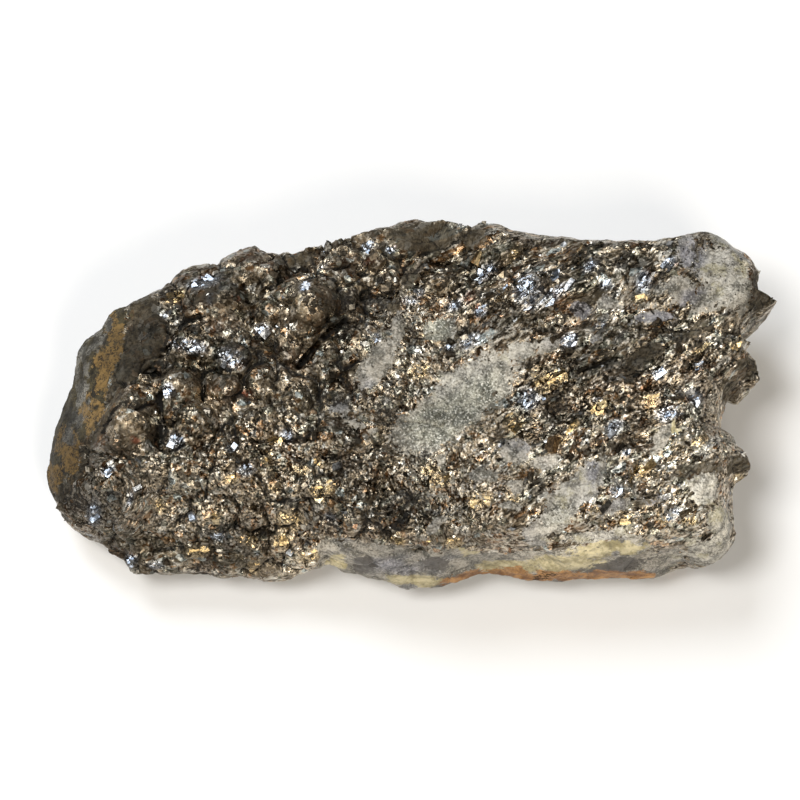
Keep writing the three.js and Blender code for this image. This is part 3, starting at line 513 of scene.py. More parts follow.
class Regions:
    """What each point of the surface is made of, as shares from 0 to 1, and where its colour gets painted
    light and painted shade.
    """

    def __init__(self, points, normals):
        raw_u, raw_v = picture_place(points)
        warps = rough_noise(points, 4 * MM, 71), rough_noise(points, 4 * MM, 81)
        self.lean = normals @ TO_CAMERA
        self.facing = smoothstep(self.lean, 0.0, 0.25)
        u, v = raw_u + REGION_WANDER * warps[0], raw_v + REGION_WANDER * warps[1]
        for name, (ovals, fade) in OVAL_REGIONS.items():
            setattr(self, name, self.facing * ovals_share(u, v, ovals, fade))
        self.cool = self.facing * ovals_share(raw_u, raw_v, COOL_GLINTS, 0.5)
        self.warm = self.facing * ovals_share(raw_u, raw_v, WARM_GLINTS, 0.5)
        layered = smoothstep(points[:, 0], -2 * MM, 18 * MM)
        self.layered = np.maximum(layered, ovals_share(u, v, FABRIC_OVALS, 0.5))
        self.add_rind_and_quartz(points, normals, u, v)
        u, v = raw_u + CRACK_WANDER * warps[0], raw_v + CRACK_WANDER * warps[1]
        self.add_cracks(points, u, v)
        self.add_blocks(u, v)

    def add_rind_and_quartz(self, points, normals, u, v):
        facing, hidden = self.facing, 1 - self.facing
        upward = smoothstep(normals[:, 2], -0.1, 0.35)
        rind = beside_line(u, v, RIND_LINE, 5) * smoothstep(-points[:, 0], 38 * MM, 42 * MM)
        olive = beside_line(u, v, OLIVE_LINE, 5) * smoothstep(-points[:, 0], 34 * MM, 38 * MM)
        rind = rind * (1 - smoothstep(v, 492, 506))
        olive = olive * (1 - smoothstep(v, 496, 512))
        band = below_line(u, v, BAND_LINE, 4) * smoothstep(u, 312, 326)
        # On the sides that the photo doesn't show, quartz lies low and in patches.
        height = points[:, 2] + 3.5 * MM * rough_noise(points, 16 * MM, 91)
        low = 1 - smoothstep(height, 12 * MM, 15 * MM)
        patches = smoothstep(rough_noise(points, 13 * MM, 95), 0.35, 0.6)
        matrix = np.maximum(low, patches * (1 - upward))
        self.rind = rind
        strip = line_distance(u, v, GREY_STRIP)
        self.grey = rind * facing * (1 - smoothstep(strip, 5, 12))
        patch = np.maximum(ovals_share(u, v, QUARTZ_OVALS, 0.5), band)
        haze = 0.36 * ovals_share(u, v, HAZE_OVALS, 0.5)
        quartz = np.clip(facing * np.maximum(patch, haze) + hidden * matrix, 0, 1)
        self.quartz = quartz * (1 - rind)
        self.olive = facing * np.maximum(olive * (1 - rind), ovals_share(u, v, OLIVE_OVALS))
        edge = smoothstep(rough_noise(points, 9 * MM, 99), 0.2, 0.5) * hidden
        self.olive = np.clip(self.olive + 0.8 * edge * (1 - matrix), 0, 1)
        limonite = smoothstep(rough_noise(points, 11 * MM, 107), 0.35, 0.6) * hidden * matrix
        self.yellow += 0.6 * limonite
        rust = smoothstep(rough_noise(points, 8 * MM, 105), 0.45, 0.7) * hidden * matrix
        self.orange = np.clip(self.orange + 0.55 * rust, 0, 1)
        self.glitter += hidden * smoothstep(rough_noise(points, 9 * MM, 111), -0.2, 0.3)
        self.pyrite = np.clip(1 - self.quartz - rind - self.olive, 0, 1)

    def add_cracks(self, points, u, v):
        crack = np.zeros(len(points))
        depths = np.zeros(len(points))
        for line, half_width, depth in CRACKS:
            away = line_distance(u, v, line)
            share = 1 - smoothstep(away, 0, 1.6 * half_width)
            crack = np.maximum(crack, 1 - smoothstep(away, 0.1 * half_width, 1.15 * half_width))
            depths = np.maximum(depths, share * depth * MM)
        broken = 0.3 + 0.7 * smoothstep(noise(points, 2.0 * MM, 121), -0.35, 0.15)
        self.crack = crack * self.facing * broken
        self.crack_depth = depths * (0.3 + 0.7 * broken) * self.facing

    def add_blocks(self, u, v):
        self.bulge, self.groove, self.block = (np.zeros(len(u)) for _ in range(3))
        for oval, height, depth in BLOCKS:
            reach = oval_distance(u, v, *oval)
            inside = 1 - smoothstep(reach, 0.6, 1.15)
            dome = height * (0.4 * np.sqrt(np.clip(1.1 - reach**2, 0, 1)) + 0.6 * inside)
            rim = 0.3 * depth * (1 - smoothstep(np.abs(reach - 1.08), 0.0, 0.14))
            self.bulge = np.maximum(self.bulge, dome * MM)
            outside = np.maximum(self.groove, rim * MM)
            self.groove = np.where(inside > 0.5, self.groove * 0.3, outside)
            self.block = np.maximum(self.block, inside)


class Facets:
    """Cells of broken stone, each one a flat face at its own height and slope."""

    def __init__(self, points, size, slope, step, salt):
        self.cells, self.seeds, self.edge = nearest_cells(points, size, salt)
        self.slope, self.step, self.salt = slope, step, salt

    def height(self, points):
        tilt = (2 * hashed_rows(self.cells, self.salt + 3) - 1) * self.slope
        level = (2 * hashed(self.cells, self.salt + 6) - 1) * self.step
        return level + ((points - self.seeds) * tilt).sum(axis=1)


def surface_relief(points, regions):
    """How far each point stands out, from blocks down to chunks, and where the gaps are."""
    bends = [rough_noise(points, 2.4 * MM, 251 + 10 * k) for k in range(3)]
    layered = layer_space(points + 0.5 * MM * np.stack(bends, axis=1), 2.4)
    calm = (0.3 + 0.3 * regions.facing) * regions.quartz + 0.95 * regions.rind
    broken = 1 - np.clip(calm + 0.5 * regions.olive, 0, 1)
    left = 1 - smoothstep(points[:, 0], 0, 16 * MM)
    blocks = Facets(layered, BLOCK_SIZE, 0.12, 0.35 * MM, 201)
    chunks = Facets(layered, CHUNK_SIZE, 0.15, 0.07 * MM, 211)
    free = 1 - regions.block
    rounding = 0.3 * MM * (1 - smoothstep(blocks.edge, 0, 2.0 * MM))
    relief = free * (blocks.height(layered) - rounding) * (0.4 + 0.6 * left)
    chunk = chunks.height(layered) - 0.12 * MM * (1 - smoothstep(chunks.edge, 0, 0.9 * MM))
    relief += chunk * (0.45 + 0.55 * regions.glitter)
    relief += regions.facing * regions.bulge
    relief *= broken * (0.35 + 0.65 * smoothstep(regions.lean, 0.1, 0.6))
    relief += MM * (0.12 * rough_noise(points, 5 * MM, 261) + 0.08 * rough_noise(points, 1.1 * MM, 271))
    open_share = smoothstep(noise(points, 9 * MM, 281), -0.45, 0.3)
    joint = free * (1 - smoothstep(blocks.edge, 0.05 * MM, 0.75 * MM)) * open_share
    joint *= (0.35 + 0.65 * left) * broken
    seam = (1 - smoothstep(chunks.edge, 0.0, 0.3 * MM)) * broken
    seam *= smoothstep(noise(points, 4 * MM, 291), 0.0, 0.6)
    groove = regions.facing * regions.groove * open_share * broken
    gap = np.clip(0.6 * joint + 0.5 * seam + groove / MM, 0, 1)
    return relief - regions.crack_depth - groove - MM * (0.6 * joint + 0.2 * seam), gap



def shaken(points, normals, reach, salt):
    """Each point moved a little to any side and in or out, except those on the flat base."""
    along, out = reach
    out = out * looseness(points)
    number = np.stack([np.arange(len(points))] * 3, axis=1)
    moves = 2 * hashed_rows(number, salt) - 1
    level = (moves * normals).sum(axis=1, keepdims=True)
    sideways = moves - level * normals
    lift = 2 * hashed(number, salt + 3) - 1
    hold = smoothstep(points[:, 2], 0.05 * MM, 2.0 * MM)[:, None]
    return points + hold * (along * sideways + (out * lift)[:, None] * normals)


def without_spikes(points, triangles):
    """Points that stand too far from their neighbours' mean, brought back towards it."""
    for _ in range(2):
        away = points - neighbour_means(points, triangles)
        length = np.linalg.norm(away, axis=1, keepdims=True)
        points = points - away * np.maximum(1 - SPIKE_LIMIT / np.maximum(length, 1e-9), 0)
    return points


def looseness(points):
    """1 where the stone is sugary and less where it breaks in smoother blocks."""
    return 0.35 + 0.65 * ovals_share(*picture_place(points), GLITTER_OVALS, 0.5)


def hollows(points, triangles, normals):
    """From 0 on ridges through 0.5 to 1 in hollows, at the size of the grains and a little above."""
    depth = ((neighbour_means(points, triangles) - points) * normals).sum(axis=1)
    wide = depth
    for _ in range(3):
        wide = neighbour_means(wide[:, None], triangles)[:, 0]
    return np.clip(0.5 + depth / (0.12 * MM) + wide / (0.14 * MM), 0, 1)


# How far points are shaken in the first and second refining: sideways, and in or out.
FIRST_SHAKE = 0.3 * MM, 0.12 * MM
SECOND_SHAKE = 0.1 * MM, 0.06 * MM


def stone_surface():
    """The stone's points and triangles with all their relief, and how open each point's gap is."""
    points, triangles = mesh_arrays("pyrite_rock")
    facing = smoothstep(vertex_normals(points, triangles) @ TO_CAMERA, 0.3, 0.8)
    teeth = smoothstep(points[:, 0], 50 * MM, 55 * MM)
    points = relaxed(points, triangles, (0.25 + 0.35 * facing - 0.2 * teeth)[:, None], 2)
    points, triangles = refined(points, triangles, everywhere)
    normals = broad_normals(points, triangles, 5)
    points = shaken(points, normals, FIRST_SHAKE, 501)
    points, triangles = refined(points, triangles, everywhere)
    normals = broad_normals(points, triangles, 10)
    points = shaken(points, normals, SECOND_SHAKE, 511)

    def seen_from_above(sides):
        return (normals[sides] @ TO_CAMERA).max(axis=1) > 0.05

    points, triangles = refined(points, triangles, seen_from_above)
    normals = broad_normals(points, triangles, 16)
    regions = Regions(points, normals)
    hold = smoothstep(points[:, 2], 0.05 * MM, 2.5 * MM)
    relief, gap = surface_relief(points, regions)
    points = without_spikes(points + (hold * relief)[:, None] * normals, triangles)
    points[:, 2] = np.maximum(points[:, 2], 0)
    return points, triangles, gap


def add_mesh(name, points, triangles):
    mesh = bpy.data.meshes.new(name)
    mesh.vertices.add(len(points))
    mesh.vertices.foreach_set("co", points.astype(np.float32).ravel())
    mesh.loops.add(triangles.size)
    mesh.loops.foreach_set("vertex_index", triangles.astype(np.int32).ravel())
    mesh.polygons.add(len(triangles))
    mesh.polygons.foreach_set("loop_start", np.arange(len(triangles), dtype=np.int32) * 3)
    mesh.update(calc_edges=True)
    piece = bpy.data.objects.new(name, mesh)
    bpy.context.scene.collection.objects.link(piece)
    return piece


class Chart:
    """One side of the stone on its map: the way it faces, its axes and the box it fills."""

    def __init__(self, facing, across, up, box):
        self.facing, self.axes = np.array(facing), np.array([across, up]).T
        self.low, self.high = np.array(box).reshape(2, 2)


FACE_CHARTS = [Chart(TO_CAMERA, (1, 0, 0), PICTURE_UP, (0, 0, 1, 1))]
SIDE_CHARTS = [
    Chart((0, -1, 0), (1, 0, 0), (0, 0, 1), (0, 0, 1, 0.2)),
    Chart((0, 1, 0), (-1, 0, 0), (0, 0, 1), (0, 0.2, 1, 0.4)),
    Chart((-1, 0, 0), (0, -1, 0), (0, 0, 1), (0, 0.4, 0.5, 0.6)),
    Chart((1, 0, 0), (0, 1, 0), (0, 0, 1), (0.5, 0.4, 1, 0.6)),
    Chart((0, 0, -1), (1, 0, 0), (0, -1, 0), (0, 0.6, 1, 1)),
]
CHART_MARGIN = 0.004


def lay_out(piece, points, triangles, charts):
    """Gives a piece its map, on which each face lies in the chart that it faces most."""
    a, b, c = points[triangles].transpose(1, 0, 2)
    facing = np.cross(b - a, c - a)
    chosen = np.argmax(facing @ np.array([chart.facing for chart in charts]).T, axis=1)
    places = np.zeros((len(triangles), 3, 2))
    for index, chart in enumerate(charts):
        own = chosen == index
        flat = points[triangles[own]] @ chart.axes
        start, end = flat.min(axis=(0, 1)), flat.max(axis=(0, 1))
        low, high = chart.low + CHART_MARGIN, chart.high - CHART_MARGIN
        places[own] = low + (flat - start) / (end - start) * (high - low)
    set_map(piece, places)


def set_map(piece, places):
    layer = piece.data.uv_layers.new(name="OFBake")
    layer.uv.foreach_set("vector", places.astype(np.float32).ravel())


def add_value(piece, name, values):
    attribute = piece.data.attributes.new(name, "FLOAT", "POINT")
    attribute.data.foreach_set("value", values.astype(np.float32))


# ---- Grains ---------------------------------------------------------------------------

# How a grain lies in its cell of the map: its height leans over its width, inside a margin.
MAP_LEAN = 0.4
CELL_MARGIN = 0.1
# A block's corners and faces.
BLOCK_CORNERS = np.array([[x, y, z] for x in (-1, 1) for y in (-1, 1) for z in (-1, 1)], float)
BLOCK_TRIANGLES = np.array([
    [0, 1, 3], [0, 3, 2], [4, 6, 7], [4, 7, 5], [0, 4, 5], [0, 5, 1],
    [2, 3, 7], [2, 7, 6], [0, 2, 6], [0, 6, 4], [1, 5, 7], [1, 7, 3],
])
# A flat broken face with five corners, tapering to a point beneath.
FLAKE_ANGLES = np.arange(5) * 2 * math.pi / 5
FLAKE_CORNERS = np.concatenate([
    np.stack([np.cos(FLAKE_ANGLES), np.sin(FLAKE_ANGLES), np.zeros(5)], axis=1),
    [[0.0, 0.0, -0.9]],
])
FLAKE_TRIANGLES = np.array([
    [0, 1, 2], [0, 2, 3], [0, 3, 4], [1, 0, 5], [2, 1, 5], [3, 2, 5], [4, 3, 5], [0, 4, 5],
])


def frames_from(up, side):
    """Rotation matrices whose third column is up and whose first leans towards side."""
    third = unit(up)
    second = unit(np.cross(third, side))
    first = np.cross(second, third)
    return np.stack([first, second, third], axis=2)


def scattered(points, triangles, weight, count, random):
    """Random places on a surface, denser where the weight is larger."""
    a, b, c = points[triangles].transpose(1, 0, 2)
    normal = np.cross(b - a, c - a)
    area = np.linalg.norm(normal, axis=1) * weight[triangles].mean(axis=1)
    chosen = random.choice(len(triangles), count, p=area / area.sum())
    share = random.random((count, 2))
    flip = share.sum(axis=1) > 1
    share[flip] = 1 - share[flip]
    s, t = share[:, :1], share[:, 1:]
    place = a[chosen] + s * (b - a)[chosen] + t * (c - a)[chosen]
    return place, unit(normal[chosen])


class GrainKind:
    """One kind of grain: its number, sizes in millimetres and solid, and how it sits."""

    def __init__(self, name, count, low, high, solid, unevenness, sink, tilt, seed):
        self.name, self.count, self.low, self.high = name, count, low, high
        self.corners, self.faces = solid
        self.unevenness, self.sink, self.tilt, self.seed = unevenness, sink, tilt, seed


FLAKE, BLOCK = (FLAKE_CORNERS, FLAKE_TRIANGLES), (BLOCK_CORNERS, BLOCK_TRIANGLES)
GRAIN_KINDS = [
    GrainKind("pyrite_flakes_small", 3000, 0.16, 0.36, FLAKE, 0.15, 0.0, 0.3, 1),
    GrainKind("pyrite_flakes_large", 700, 0.36, 0.6, FLAKE, 0.18, 0.02, 0.22, 2),
    GrainKind("pyrite_crystals", 300, 0.3, 0.6, BLOCK, 0.16, 0.35, 0.5, 3),
]

# Grains in one patch of this size lie nearly alike, so that patches catch the light together.
PATCH_SIZE = 2.6 * MM
# The share of the grains of a shining group that are turned to its light, and how steadily.
LIT_SHARE = 0.72
LIT_SPREAD = 0.09

# Reflectances of the metal, from tarnished brown to bright.
BRASS = np.array([0.235, 0.2, 0.15])
PALE_BRASS = np.array([0.4, 0.355, 0.28])
BROWN_METAL = np.array([0.13, 0.105, 0.075])
STEEL = np.array([0.24, 0.24, 0.235])
# The blue steel and the gold below are painted highlight colours, given to grains where they shine with
# the cool and the warm lamp.
PAINTED_BLUE_GLINT = np.array([0.33, 0.37, 0.43])
COPPER = np.array([0.33, 0.2, 0.12])
PAINTED_GOLD_GLINT = np.array([0.55, 0.42, 0.22])
TAN = np.array([0.2, 0.165, 0.12])


def grain_colours(place, regions, random):
    """Each grain's own metal, changed by the region that it lies in, with painted highlight colour in the
    shining groups and painted shade in cracks and dark ovals.
    """
    pick = random.random(len(place))[:, None]
    colours = np.where(pick < 0.36, BROWN_METAL, BRASS)
    for least, metal in ((0.78, PALE_BRASS), (0.9, STEEL), (0.965, COPPER)):
        colours = np.where(pick > least, metal, colours)
    # Painted highlight: grains in the shining groups are made brighter and bluer or golder.
    colours = colours + (PAINTED_BLUE_GLINT - colours) * (0.85 * regions.cool)[:, None]
    colours = colours + (PAINTED_GOLD_GLINT - colours) * (0.8 * regions.warm)[:, None]
    # Painted shade: grains in cracks and dark ovals are darkened.
    painted_shade = np.clip(regions.dark + regions.crack, 0, 1)
    colours = colours * (1 - 0.6 * painted_shade)[:, None]
    colours = colours + (TAN - colours) * (0.7 * regions.tan)[:, None]
    drift = 1 + 0.22 * rough_noise(place, 7 * MM, 301)
    return np.clip(colours * drift[:, None], 0.02, 0.95)


def grains(kind, points, triangles, regions):
    """One mesh of the grains of a kind, strewn over the pyrite and lying with its grain."""
    random = np.random.default_rng(kind.seed)
    weight = np.clip(regions.pyrite + 0.02 * regions.quartz * (1 - regions.rind), 0.0, 1)
    weight *= (1 - regions.crack) * (1 - regions.dark)
    weight *= 1 - 0.97 * regions.rind
    weight *= 0.35 + 0.65 * smoothstep(points[:, 2], 4 * MM, 14 * MM)
    weight *= 0.04 + 0.96 * smoothstep(vertex_normals(points, triangles) @ TO_CAMERA, 0.2, 0.6)
    weight *= points[:, 2] > 1.2 * MM
    place, normal = scattered(points, triangles, weight, kind.count, random)
    here = Regions(place, normal)
    colours, cool, warm = grain_colours(place, here, random), here.cool, here.warm
    cells, _, _ = nearest_cells(layer_space(place, 1.8), PATCH_SIZE, 401)
    patch_up = 2 * hashed_rows(cells, 402) - 1
    up = unit(normal + kind.tilt * (0.9 * patch_up + 0.8 * random.normal(size=place.shape)))
    for share, light in ((cool, COOL_LIGHT), (warm, WARM_LIGHT)):
        half = unit(unit(light) + TO_CAMERA)
        lit = random.random(kind.count) < LIT_SHARE * share
        turned = unit(half + LIT_SPREAD * random.normal(size=place.shape))
        up = np.where(lit[:, None], turned, up)
    side = random.normal(size=place.shape)
    layered = here.layered[:, None]
    side = unit(side * (1 - 0.6 * layered) + 1.6 * layered * ALONG)
    turn = frames_from(up, side)
    size = random.uniform(kind.low, kind.high, kind.count) * random.uniform(0.75, 1.15, kind.count)
    shining = np.maximum(cool, warm)
    size *= 1 + 0.5 * shining
    ranges = (0.9, 1.25), (0.6, 1.0), (0.6, 1.0)
    shape = np.stack([random.uniform(low, high, kind.count) for low, high in ranges], axis=1)
    shape[:, :1] *= 1 + 0.5 * layered
    uneven = 2 * random.random((kind.count, len(kind.corners), 1)) - 1
    corners = kind.corners[None] * (1 + kind.unevenness * uneven)
    corners = corners * (size[:, None] * shape)[:, None, :] * MM
    centres = place - normal * (kind.sink * size * MM)[:, None]
    rough = 0.2 + 0.22 * random.random(kind.count) + 0.25 * here.tan + 0.2 * here.dark
    rough = np.clip(rough - 0.06 * shining, 0.12, 0.7)
    return add_grains(kind.name, corners, turn, centres, kind.faces, colours, rough)


def add_grains(name, shapes, turns, places, faces, colours, rough):
    """One mesh of many small solids, each with its colour, roughness and cell of the map."""
    count, corners = shapes.shape[:2]
    vertices = np.einsum("nij,nkj->nki", turns, shapes) + places[:, None, :]
    triangles = faces[None] + corners * np.arange(count)[:, None, None]
    piece = add_mesh(name, vertices.reshape(-1, 3), triangles.reshape(-1, 3))
    piece.data.shade_flat()
    each = np.repeat(np.concatenate([colours, np.ones((count, 1))], axis=1), corners, axis=0)
    layer = piece.data.color_attributes.new("metal", "FLOAT_COLOR", "POINT")
    layer.data.foreach_set("color", each.astype(np.float32).ravel())
    add_value(piece, "rough", np.repeat(rough, corners))
    seen = shapes[:, faces]
    flat = seen[..., :2] + MAP_LEAN * seen[..., 2:]
    low, high = flat.min(axis=(1, 2), keepdims=True), flat.max(axis=(1, 2), keepdims=True)
    cells = math.ceil(math.sqrt(count))
    cell = np.stack(np.divmod(np.arange(count), cells), axis=1)[:, None, None, :]
    inside = CELL_MARGIN + (1 - 2 * CELL_MARGIN) * (flat - low) / (high - low)
    set_map(piece, (cell + inside) / cells)
    return piece


# Larger faces that catch the light, as (across, down, length, width, turn, light, metal).
PLACED_CRYSTALS = [
    (398, 540, 13, 6, -25, "warm", "white"), (468, 336, 15, 8, 30, "warm", "white"),
    (549, 378, 15, 8, 40, "warm", "gold"), (557, 368, 9, 6, 40, "cool", "white"),
    (600, 407, 14, 12, 20, "warm", "pale"), (572, 428, 9, 7, 10, "warm", "gold"),
    (197, 552, 19, 10, 5, "warm", "gold"), (216, 517, 10, 6, 10, "warm", "gold"),
    (275, 443, 13, 5, 10, "warm", "white"), (268, 457, 7, 9, 50, "warm", "gold"),
    (322, 487, 14, 6, 20, "warm", "gold"), (319, 462, 5, 8, 20, "warm", "gold"),
    (309, 557, 17, 9, 20, "warm", "white"), (284, 541, 9, 13, 10, "warm", "gold"),
    (340, 350, 5, 5, 0, "cool", "white"), (377, 453, 6, 5, 0, "cool", "white"),
    (178, 441, 8, 8, 40, "cool", "blue"), (166, 391, 6, 9, 10, "cool", "blue"),
    (165, 315, 6, 6, 0, "cool", "white"), (95, 517, 6, 11, -15, "cool", "blue"),
    (129, 498, 4, 11, -20, "cool", "white"), (673, 514, 8, 5, 10, "cool", "white"),
    (739, 480, 7, 6, 20, "warm", "white"), (229, 450, 7, 5, 10, "warm", "white"),
    (646, 400, 8, 6, 0, "warm", "copper"), (453, 543, 12, 5, 0, "warm", "gold"),
    (643, 470, 13, 6, 25, "warm", "gold"), (620, 426, 10, 6, 20, "cool", "white"),
    (665, 413, 13, 8, 15, "cool", "blue"), (505, 283, 12, 3, 42, "cool", "blue"),
    (513, 292, 13, 3, 38, "cool", "white"), (526, 301, 10, 4, 30, "cool", "white"),
    (535, 287, 12, 4, 50, "cool", "blue"), (547, 297, 16, 4, 34, "cool", "white"),
    (479, 278, 9, 4, 40, "cool", "blue"), (515, 251, 8, 6, 60, "warm", "white"),
    (641, 281, 7, 9, 0, "cool", "white"), (644, 289, 8, 5, 10, "cool", "white"),
    (601, 325, 8, 5, 30, "warm", "white"), (568, 341, 10, 5, 40, "cool", "white"),
    (190, 349, 11, 4, 40, "cool", "white"), (182, 343, 9, 4, -20, "cool", "blue"),
    (208, 291, 10, 4, 60, "cool", "white"), (233, 356, 8, 5, 30, "cool", "white"),
    (303, 286, 9, 4, 40, "cool", "blue"), (324, 250, 8, 12, 20, "cool", "blue"),
    (367, 248, 10, 6, 40, "cool", "blue"), (398, 278, 5, 9, 10, "cool", "white"),
    (257, 567, 9, 6, 0, "warm", "gold"), (319, 505, 9, 5, -30, "warm", "white"),
    (131, 560, 8, 6, -30, "cool", "blue"), (154, 565, 9, 5, 0, "cool", "white"),
    (112, 462, 7, 5, 30, "cool", "white"), (700, 397, 7, 5, 30, "cool", "blue"),
    (735, 346, 7, 4, 30, "warm", "gold"), (514, 423, 8, 5, 35, "warm", "gold"),
    (590, 465, 5, 4, 0, "cool", "white"), (541, 400, 7, 5, 0, "cool", "blue"),
    (430, 545, 8, 4, 0, "warm", "gold"), (697, 366, 6, 5, 0, "cool", "blue"),
]
PLACED_METALS = {
    "white": np.array([0.34, 0.32, 0.28]), "gold": np.array([0.3, 0.22, 0.11]),
    "pale": np.array([0.34, 0.29, 0.18]), "blue": np.array([0.2, 0.23, 0.28]),
    "copper": np.array([0.24, 0.14, 0.07]),
}
# How deep they sit, as a share of their half height, how large they are against the shine that
# they make in the picture, and how rough.
PLACED_SINK = 0.7
PLACED_SHARE = 0.66
PLACED_ROUGHNESS = 0.3
PLACED_SEED = 11


def placed_crystals(points, normals):
    """The larger crystals, each one set on the surface with a face turned to its light."""
    random = np.random.default_rng(PLACED_SEED)
    u, v = picture_place(points)
    depth = (points - CAMERA_PLACE) @ TO_CAMERA
    shapes, turns, places, colours = [], [], [], []
    for cu, cv, length, width, turn, light, metal in PLACED_CRYSTALS:
        near = (np.hypot(u - cu, v - cv) < 4) & (normals @ TO_CAMERA > 0.1)
        if not near.any():
            continue
        spot = np.flatnonzero(near)[np.argmax(depth[near])]
        half = unit(unit(COOL_LIGHT if light == "cool" else WARM_LIGHT) + TO_CAMERA)
        up = unit(half + 0.06 * random.normal(size=3))
        angle = math.radians(turn)
        side = np.array([math.cos(angle), math.sin(angle), 0])
        size = np.array([length, width, 0.5 * width]) / 2 * PLACED_SHARE * VIEW_WIDTH / PICTURE_SIZE
        shapes.append(BLOCK_CORNERS * (1 - 0.5 * random.random(BLOCK_CORNERS.shape)) * size)
        turns.append(frames_from(up[None], side[None])[0])
        places.append(points[spot] - PLACED_SINK * size[2] * normals[spot])
        colours.append(PLACED_METALS[metal])
    rough = np.full(len(shapes), PLACED_ROUGHNESS)
    solids = [np.array(values) for values in (shapes, turns, places)]
    return add_grains("placed_crystals", *solids, BLOCK_TRIANGLES, np.array(colours), rough)


# ---- Materials ------------------------------------------------------------------------

class Nodes:
    """Short ways to add shader nodes to one material."""

    def __init__(self, name):
        self.material = bpy.data.materials.new(name)
        self.material.use_nodes = True
        self.tree = self.material.node_tree
        self.surface = self.tree.nodes["Principled BSDF"]
        self.coords = self.add("ShaderNodeTexCoord").outputs["Object"]

    def add(self, kind, inputs=None, **settings):
        node = self.tree.nodes.new(kind)
        for name, value in settings.items():
            setattr(node, name, value)
        for name, value in (inputs or {}).items():
            self.put(node.inputs[name], value)
        return node

    def put(self, socket, value):
        if isinstance(value, bpy.types.NodeSocket):
            self.tree.links.new(value, socket)
        elif isinstance(value, tuple) and socket.type == "RGBA":
            socket.default_value = (*value, 1.0)
        else:
            socket.default_value = value

    def value(self, name):
        return self.add("ShaderNodeAttribute", attribute_name=name).outputs["Fac"]

    def noise(self, size_mm, detail=3.0, rough=0.55, vector=None):
        inputs = {"Vector": vector or self.coords, "Scale": 1 / (size_mm * MM)}
        inputs |= {"Detail": detail, "Roughness": rough}
        return self.add("ShaderNodeTexNoise", inputs).outputs["Fac"]

    def math(self, operation, a, b=0.0, clamp=False):
        node = self.add("ShaderNodeMath", {0: a, 1: b}, operation=operation, use_clamp=clamp)
        return node.outputs[0]

    def times(self, value, *factors):
        for factor in factors:
            value = self.math("MULTIPLY", value, factor)
        return value

    def plus(self, a, b):
        return self.math("ADD", a, b)

    def most(self, value, *others):
        for other in others:
            value = self.math("MAXIMUM", value, other)
        return value

    def swing(self, value, reach):
        """A noise from 0 to 1 made to swing about 0, by half the reach each way."""
        return self.times(self.math("SUBTRACT", value, 0.5), reach)

    def vector(self, operation, a, b=(0.0, 0.0, 0.0)):
        return self.add("ShaderNodeVectorMath", {0: a, 1: b}, operation=operation).outputs[0]

    def centred(self, colour):
        """A random colour made into a direction."""
        return self.vector("SUBTRACT", colour, (0.5,) * 3)

    def dot(self, a, b):
        node = self.add("ShaderNodeVectorMath", {0: a, 1: b}, operation="DOT_PRODUCT")
        return node.outputs["Value"]

    def scaled(self, vector, factor):
        inputs = {0: vector, "Scale": factor}
        return self.add("ShaderNodeVectorMath", inputs, operation="SCALE").outputs[0]

    def cells(self, size_mm, vector):
        """A random colour for each of the cells that fill the space."""
        inputs = {"Vector": vector, "Scale": 1 / (size_mm * MM)}
        return self.add("ShaderNodeTexVoronoi", inputs).outputs["Color"]

    def channels(self, colour):
        return self.add("ShaderNodeSeparateColor", {"Color": colour}).outputs

    def span(self, value, low, high, start=0.0, end=1.0):
        inputs = {"Value": value, "From Min": low, "From Max": high, "To Min": start, "To Max": end}
        node = self.add("ShaderNodeMapRange", inputs, interpolation_type="SMOOTHSTEP")
        return node.outputs["Result"]

    def noise_span(self, size_mm, detail, rough, low, high, *ends):
        return self.span(self.noise(size_mm, detail, rough), low, high, *ends)

    def mix(self, share, a, b, mode="MIX"):
        node = self.add("ShaderNodeMix", data_type="RGBA", blend_type=mode, clamp_factor=True)
        self.put(node.inputs[0], share)
        self.put(node.inputs[6], a)
        self.put(node.inputs[7], b)
        return node.outputs[2]

    def tinted(self, colour, tint, share=1.0):
        return self.mix(share, colour, tint, "MULTIPLY")

    def blend(self, share, a, b):
        node = self.add("ShaderNodeMix", data_type="FLOAT", clamp_factor=True)
        self.put(node.inputs[0], share)
        self.put(node.inputs[2], a)
        self.put(node.inputs[3], b)
        return node.outputs[0]

    def bump(self, height, depth, strength, normal=None):
        node = self.add("ShaderNodeBump", {"Height": height, "Distance": depth, "Strength": strength})
        if normal:
            self.put(node.inputs["Normal"], normal)
        self.put(self.surface.inputs["Normal"], node.outputs[0])


# Colours that a material runs between, as (dark, light).
DULL_METAL = (0.036, 0.027, 0.017), (0.2, 0.155, 0.1)
BRIGHT_METAL = (0.07, 0.055, 0.037), (0.68, 0.56, 0.4)
# The cool and warm sheens are painted highlights, laid on the metal where it shines with the two lamps.
COOL_SHEEN = (0.05, 0.05, 0.056), (0.52, 0.54, 0.57)
WARM_SHEEN = (0.09, 0.062, 0.035), (0.7, 0.55, 0.33)
MILKY_QUARTZ = (0.11, 0.103, 0.083), (0.45, 0.41, 0.345)
GREY_QUARTZ = (0.13, 0.13, 0.14), (0.36, 0.36, 0.39)
GREEN_QUARTZ = (0.07, 0.075, 0.058), (0.31, 0.31, 0.25)
PALE_QUARTZ = (0.2, 0.19, 0.165), (0.68, 0.65, 0.57)
LILAC_QUARTZ = (0.1, 0.1, 0.125), (0.33, 0.33, 0.39)
YELLOW_LIMONITE = (0.3, 0.25, 0.12), (0.6, 0.52, 0.31)
ORANGE_LIMONITE = (0.17, 0.065, 0.012), (0.5, 0.25, 0.07)
RIND = (0.016, 0.012, 0.005), (0.095, 0.076, 0.036)
OCHRE_RIND = (0.11, 0.062, 0.016), (0.4, 0.25, 0.085)
BLEACHED_RIND = (0.05, 0.046, 0.035), (0.24, 0.225, 0.19)
MATT_PYRITE = (0.005, 0.0035, 0.0015), (0.075, 0.058, 0.032)
